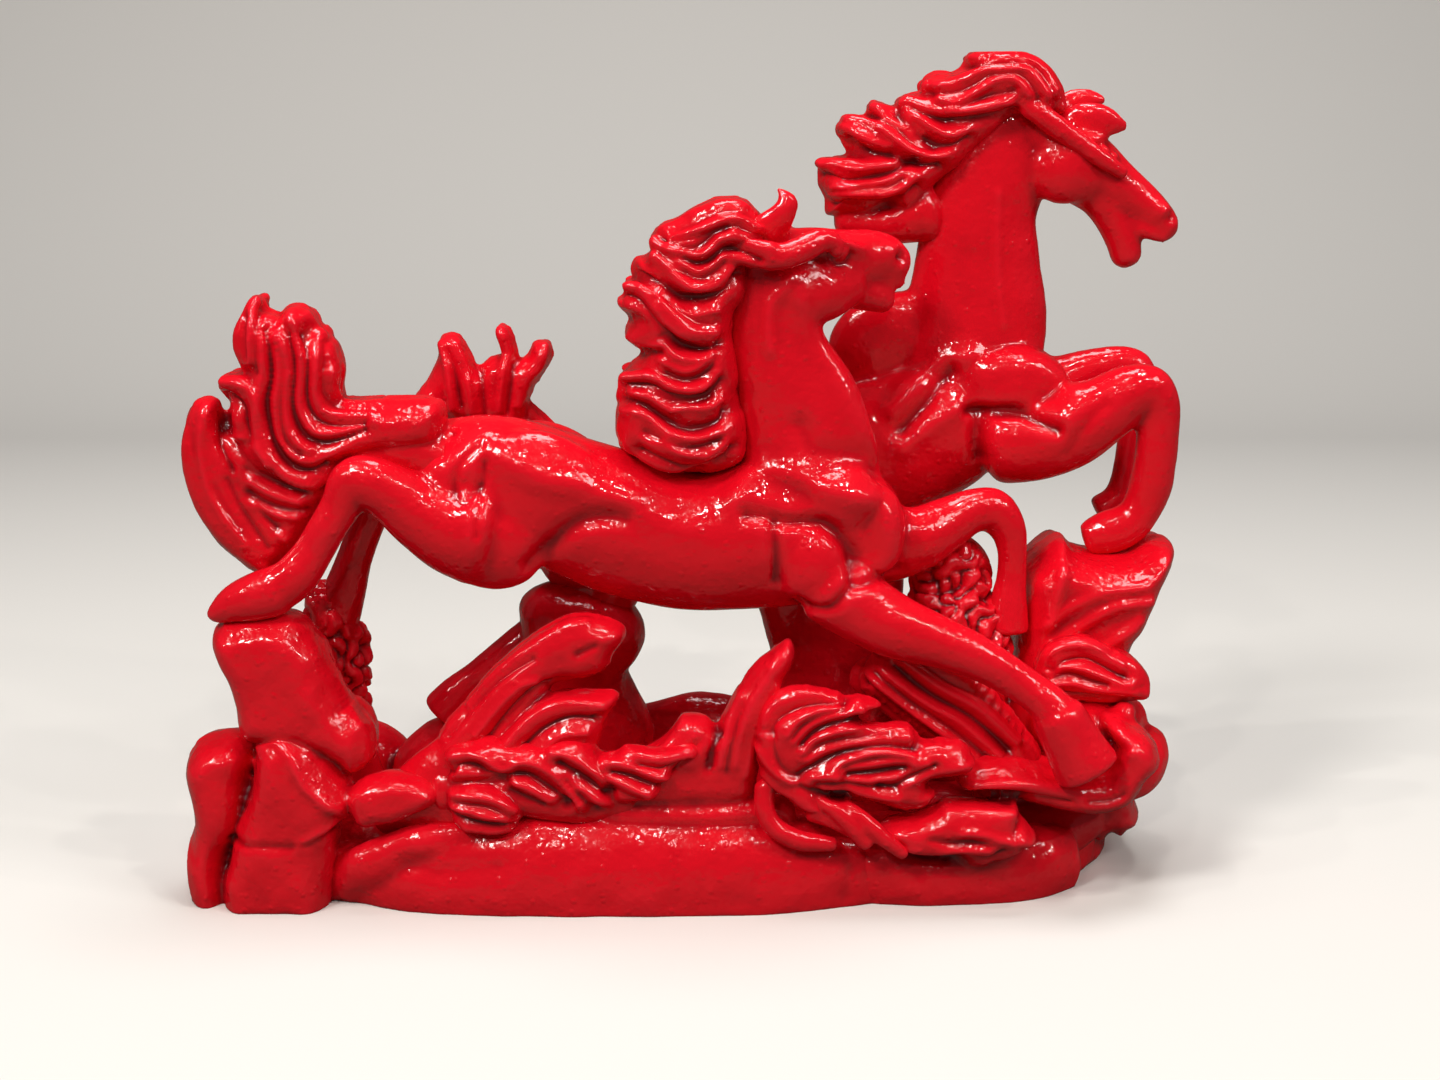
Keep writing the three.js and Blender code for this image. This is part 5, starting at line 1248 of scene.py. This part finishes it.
rightRocks = {
    "cliff": ([[137, 119], [143, 127], [153, 134], [158, 129], [168, 127], [180, 127], [187, 131],
               [194, 133], [199, 130], [199, 123], [195, 114], [191, 105], [187, 96], [182, 86],
               [182, 60], [186, 30], [184, 12], [124, 12], [126, 50], [134, 80], [136, 104]],
              -15, 44, 10),
    "leaf": ([[77, 31], [83, 35], [92, 37], [102, 40], [113, 41], [122, 42], [129, 42], [131, 37],
              [134, 33], [138, 28], [136, 24], [129, 21], [123, 18], [117, 16], [110, 18], [104, 20],
              [96, 22], [89, 22], [86, 25], [82, 27]], -62, -38, 7),
    "ledge": ([[109, 54], [117, 56], [127, 57], [137, 55], [146, 52], [156, 50], [164, 50], [168, 54],
               [170, 60], [167, 65], [165, 70], [169, 72], [174, 70], [180, 67], [184, 63], [187, 57],
               [186, 52], [182, 48], [179, 42], [175, 37], [169, 34], [162, 33], [155, 34], [145, 36],
               [135, 38], [127, 41], [118, 42], [109, 44]], -54, -10, 8),
    "forms": [
        [[172, -30, 43, 10, 9], [182, -24, 45, 10, 9], [187, -15, 49, 9, 9], [188, -6, 52, 8, 9]],
        [[62, -37, 9, 14, 18], [92, -39, 8, 15, 20], [122, -38, 8, 14, 20], [140, -34, 8, 12, 18],
         [152, -28, 8, 9, 15]],
        [[150, -20, 62, 18, 12], [168, -14, 60, 16, 14], [182, -6, 58, 8, 12]],
        [[140, -18, 14, 14, 14], [158, -12, 20, 12, 12], [166, -6, 24, 10, 10]],
    ],
    "balls": [([175, -27, 70], [5, 5, 5]), ([108, -6, 84], [26, 18, 38]), ([108, -2, 120], [17, 12, 18])],
    "lines": [
        ([[147, -16, 94], [162, -16, 104], [173, -16, 110], [186, -14, 112]], 2.4, 2.2),
        ([[144, -16, 101], [155, -16, 110], [170, -16, 116], [184, -15, 118]], 2.0, 1.6),
        ([[156, -16, 90], [169, -16, 94], [183, -15, 104]], 2.4, 2.0),
        ([[146, -16, 103], [149, -16, 114], [151, -15, 122], [154, -14, 130]], 2.0, 2.0),
        ([[158, -16, 125], [170, -16, 123], [186, -14, 125]], 3.0, -1.6),
        ([[120, -54, 24], [140, -50, 22], [152, -40, 22]], 3.0, -2.2),
        ([[70, -54, 30], [67, -58, 16], [64, -60, 0]], 3.4, -4.0),
        ([[94, -56, 18], [99, -58, 4]], 3.0, -2.4),
        ([[122, -56, 16], [126, -56, 2]], 3.0, -2.2),
    ],
    "strokes": [
        ("crest", [[103, 39], [113.5, 39.5], [127.5, 39.5]]),
        ("crest", [[88, 26], [96.5, 24.5], [106, 25.5], [114, 26], [120.5, 26]]),
        ("groove", [[96.5, 30], [104, 29], [111, 29.5], [117.5, 28], [122, 24.5]]),
        ("crest", [[108.5, 32.5], [117.5, 32], [123.5, 30], [130.5, 28.5]]),
        ("groove", [[130, 35.5], [128, 31.5], [131, 26], [134.5, 24]]),
        ("gully", [[87, 21.5], [98.5, 20], [110, 20.5], [120.5, 21.5], [124.5, 25]]),
        ("crest", [[111.5, 48.5], [123, 49], [132.5, 49.5], [142, 48.5], [151.5, 47], [159, 47],
                   [166.5, 49], [172, 54.5], [174, 61]]),
        ("gully", [[117, 44.5], [127, 44], [138.5, 43], [150, 42]]),
        ("groove", [[157.5, 43], [165, 43.5], [170.5, 45.5]]),
    ],
    "frontOf": -32,
    "crust": [([110, -14, 98], [24, 18, 36])],
    "swell": 0.6,
    "grain": 1.05,
    "seed": 41,
}

castRocks("right_rocks", rightRocks,
          [*[pillow(*rightRocks[part]) for part in ("cliff", "leaf", "ledge")],
           *[loft(form, steps=50) for form in rightRocks["forms"]],
           *[ball(*form) for form in rightRocks["balls"]]],
          ["right_ledge", "right_front_boulder", "right_corner_boulder", "right_inner_boulder",
           "coral_rock", "right_cliff"])

backRocks = {
    "balls": [([-98, 18, 30], [24, 18, 24]), ([-142, 34, 24], [30, 18, 26]), ([-76, 46, 22], [24, 15, 22])],
    "columns": [
        [[-48, 18, 14, 24, 31], [-39, 20, 44, 21, 27], [-46, 15, 74, 20, 23], [-41, 14, 96, 22, 27]],
        [[62, 6, 14, 24, 37], [62, 3, 44, 15, 30], [64, 6, 78, 14, 27], [60, 4, 118, 16, 30]],
    ],
    "bank": [[-60, 44, 18, 13, 18], [-20, 47, 28, 14, 22], [10, 45, 32, 15, 25], [44, 47, 28, 14, 21],
             [76, 44, 34, 14, 27], [112, 40, 22, 13, 20]],
    "swell": 1.0,
    "grain": 1.3,
    "seed": 61,
}

castRocks("back_rocks", backRocks,
          [*[ball(*form) for form in backRocks["balls"]], *[loft(form) for form in backRocks["columns"]],
           loft(backRocks["bank"], steps=60)],
          ["left_rear_boulder", "back_left_boulder", "back_hoof_boulder", "middle_column",
           "chest_column", "back_bank"])


# Studio, in metres: a floor from front to back, bent up into a backdrop, and round lamps

studio = {
    "seen": (0.78, 0.76, 0.73, 1),  # the sweep where the camera looks at it
    "reflected": (0.13, 0.11, 0.095, 1),  # the sweep where the enamel reflects it
    "front": -2.4,
    "back": 1.1,
    "bend": 0.6,
    "top": 3.0,
    "side": 3.2,
    "sky": (0.95, 0.96, 1.0, 1),
    "skyStrength": 0.08,
    "aim": (0, 0, 0.15),  # the place that every lamp looks at
}
lamps = {
    "soft_left": {"place": (-1.0, -1.2, 1.7), "size": 0.45, "power": 19, "colour": (1, 0.97, 0.93)},
    "soft_right": {"place": (1.3, -0.9, 1.4), "size": 0.5, "power": 7, "colour": (1, 0.98, 0.96)},
    "overhead": {"place": (0.1, 0.2, 1.9), "size": 0.8, "power": 16, "colour": (1, 1, 1)},
}
downlight = {"size": 0.045, "power": 3.0, "colour": (1, 0.95, 0.88)}
downlightPlaces = [(-0.5, -1.5, 1.3), (0.35, -1.6, 1.5), (0.9, -1.2, 1.6), (-0.9, -0.6, 1.7),
                   (-0.1, -0.9, 1.8), (0.5, -0.5, 1.8), (-1.4, -0.9, 1.1), (1.5, -0.7, 1.0)]
for number, place in enumerate(downlightPlaces):
    lamps[f"downlight_{number}"] = {"place": place, **downlight}


def sweepSurface():
    # pale where the camera looks at it, darker taupe where the enamel reflects it
    material = bpy.data.materials.new("pale_sweep")
    material.use_nodes = True
    tree = material.node_tree
    make = nodeMaker(tree)
    shader = tree.nodes["Principled BSDF"]
    byCamera = make("ShaderNodeLightPath").outputs["Is Camera Ray"]
    tone = make("ShaderNodeMix", {"Factor": byCamera, 6: studio["reflected"], 7: studio["seen"]},
                data_type="RGBA")
    tree.links.new(tone.outputs[2], shader.inputs["Base Color"])
    shader.inputs["Roughness"].default_value = 0.8
    return material


def studioSweep():
    # a floor that curves up into a backdrop: a profile of depth and height, drawn out sideways
    back, bend = studio["back"], studio["bend"]
    turns = np.linspace(0, math.pi / 2, 16)
    curve = [[back + bend * math.sin(turn), bend * (1 - math.cos(turn))] for turn in turns]
    profile = [[studio["front"], 0.0], *curve, [back + bend, studio["top"]]]
    points = [[side, y, z] for y, z in profile for side in (-studio["side"], studio["side"])]
    faces = [[2 * i, 2 * i + 1, 2 * i + 3, 2 * i + 2] for i in range(len(profile) - 1)]
    mesh = bpy.data.meshes.new("studio_sweep")
    mesh.from_pydata(points, [], faces)
    mesh.polygons.foreach_set("use_smooth", np.ones(len(mesh.polygons), bool))
    mesh.materials.append(sweepSurface())
    sweep = bpy.data.objects.new("studio_sweep", mesh)
    bpy.context.scene.collection.objects.link(sweep)


def lamp(name, place, size, power, colour):
    # a round lamp that is turned towards the ornament
    light = bpy.data.lights.new(name, "AREA")
    light.shape = "DISK"
    light.size = size
    light.energy = power
    light.color = colour
    holder = bpy.data.objects.new(name, light)
    holder.location = place
    holder.rotation_mode = "QUATERNION"
    holder.rotation_quaternion = (Vector(studio["aim"]) - Vector(place)).to_track_quat("-Z", "Y")
    bpy.context.scene.collection.objects.link(holder)


studioSweep()
for name, values in lamps.items():
    lamp(name, **values)

world = bpy.data.worlds.new("studio")
world.use_nodes = True
world.node_tree.nodes["Background"].inputs["Color"].default_value = studio["sky"]
world.node_tree.nodes["Background"].inputs["Strength"].default_value = studio["skyStrength"]
bpy.context.scene.world = world
bpy.context.scene.view_settings.view_transform = "Standard"

view = {"place": (0.016, -0.7825, 0.3003), "tilt": 78, "lens": 50, "sensor": 36}
camera = bpy.data.objects.new("camera", bpy.data.cameras.new("camera"))
camera.data.lens = view["lens"]
camera.data.sensor_width = view["sensor"]
camera.location = view["place"]
camera.rotation_euler = (math.radians(view["tilt"]), 0, 0)
bpy.context.scene.collection.objects.link(camera)
bpy.context.scene.camera = camera
print("studio lit:", len(lamps), "lamps")
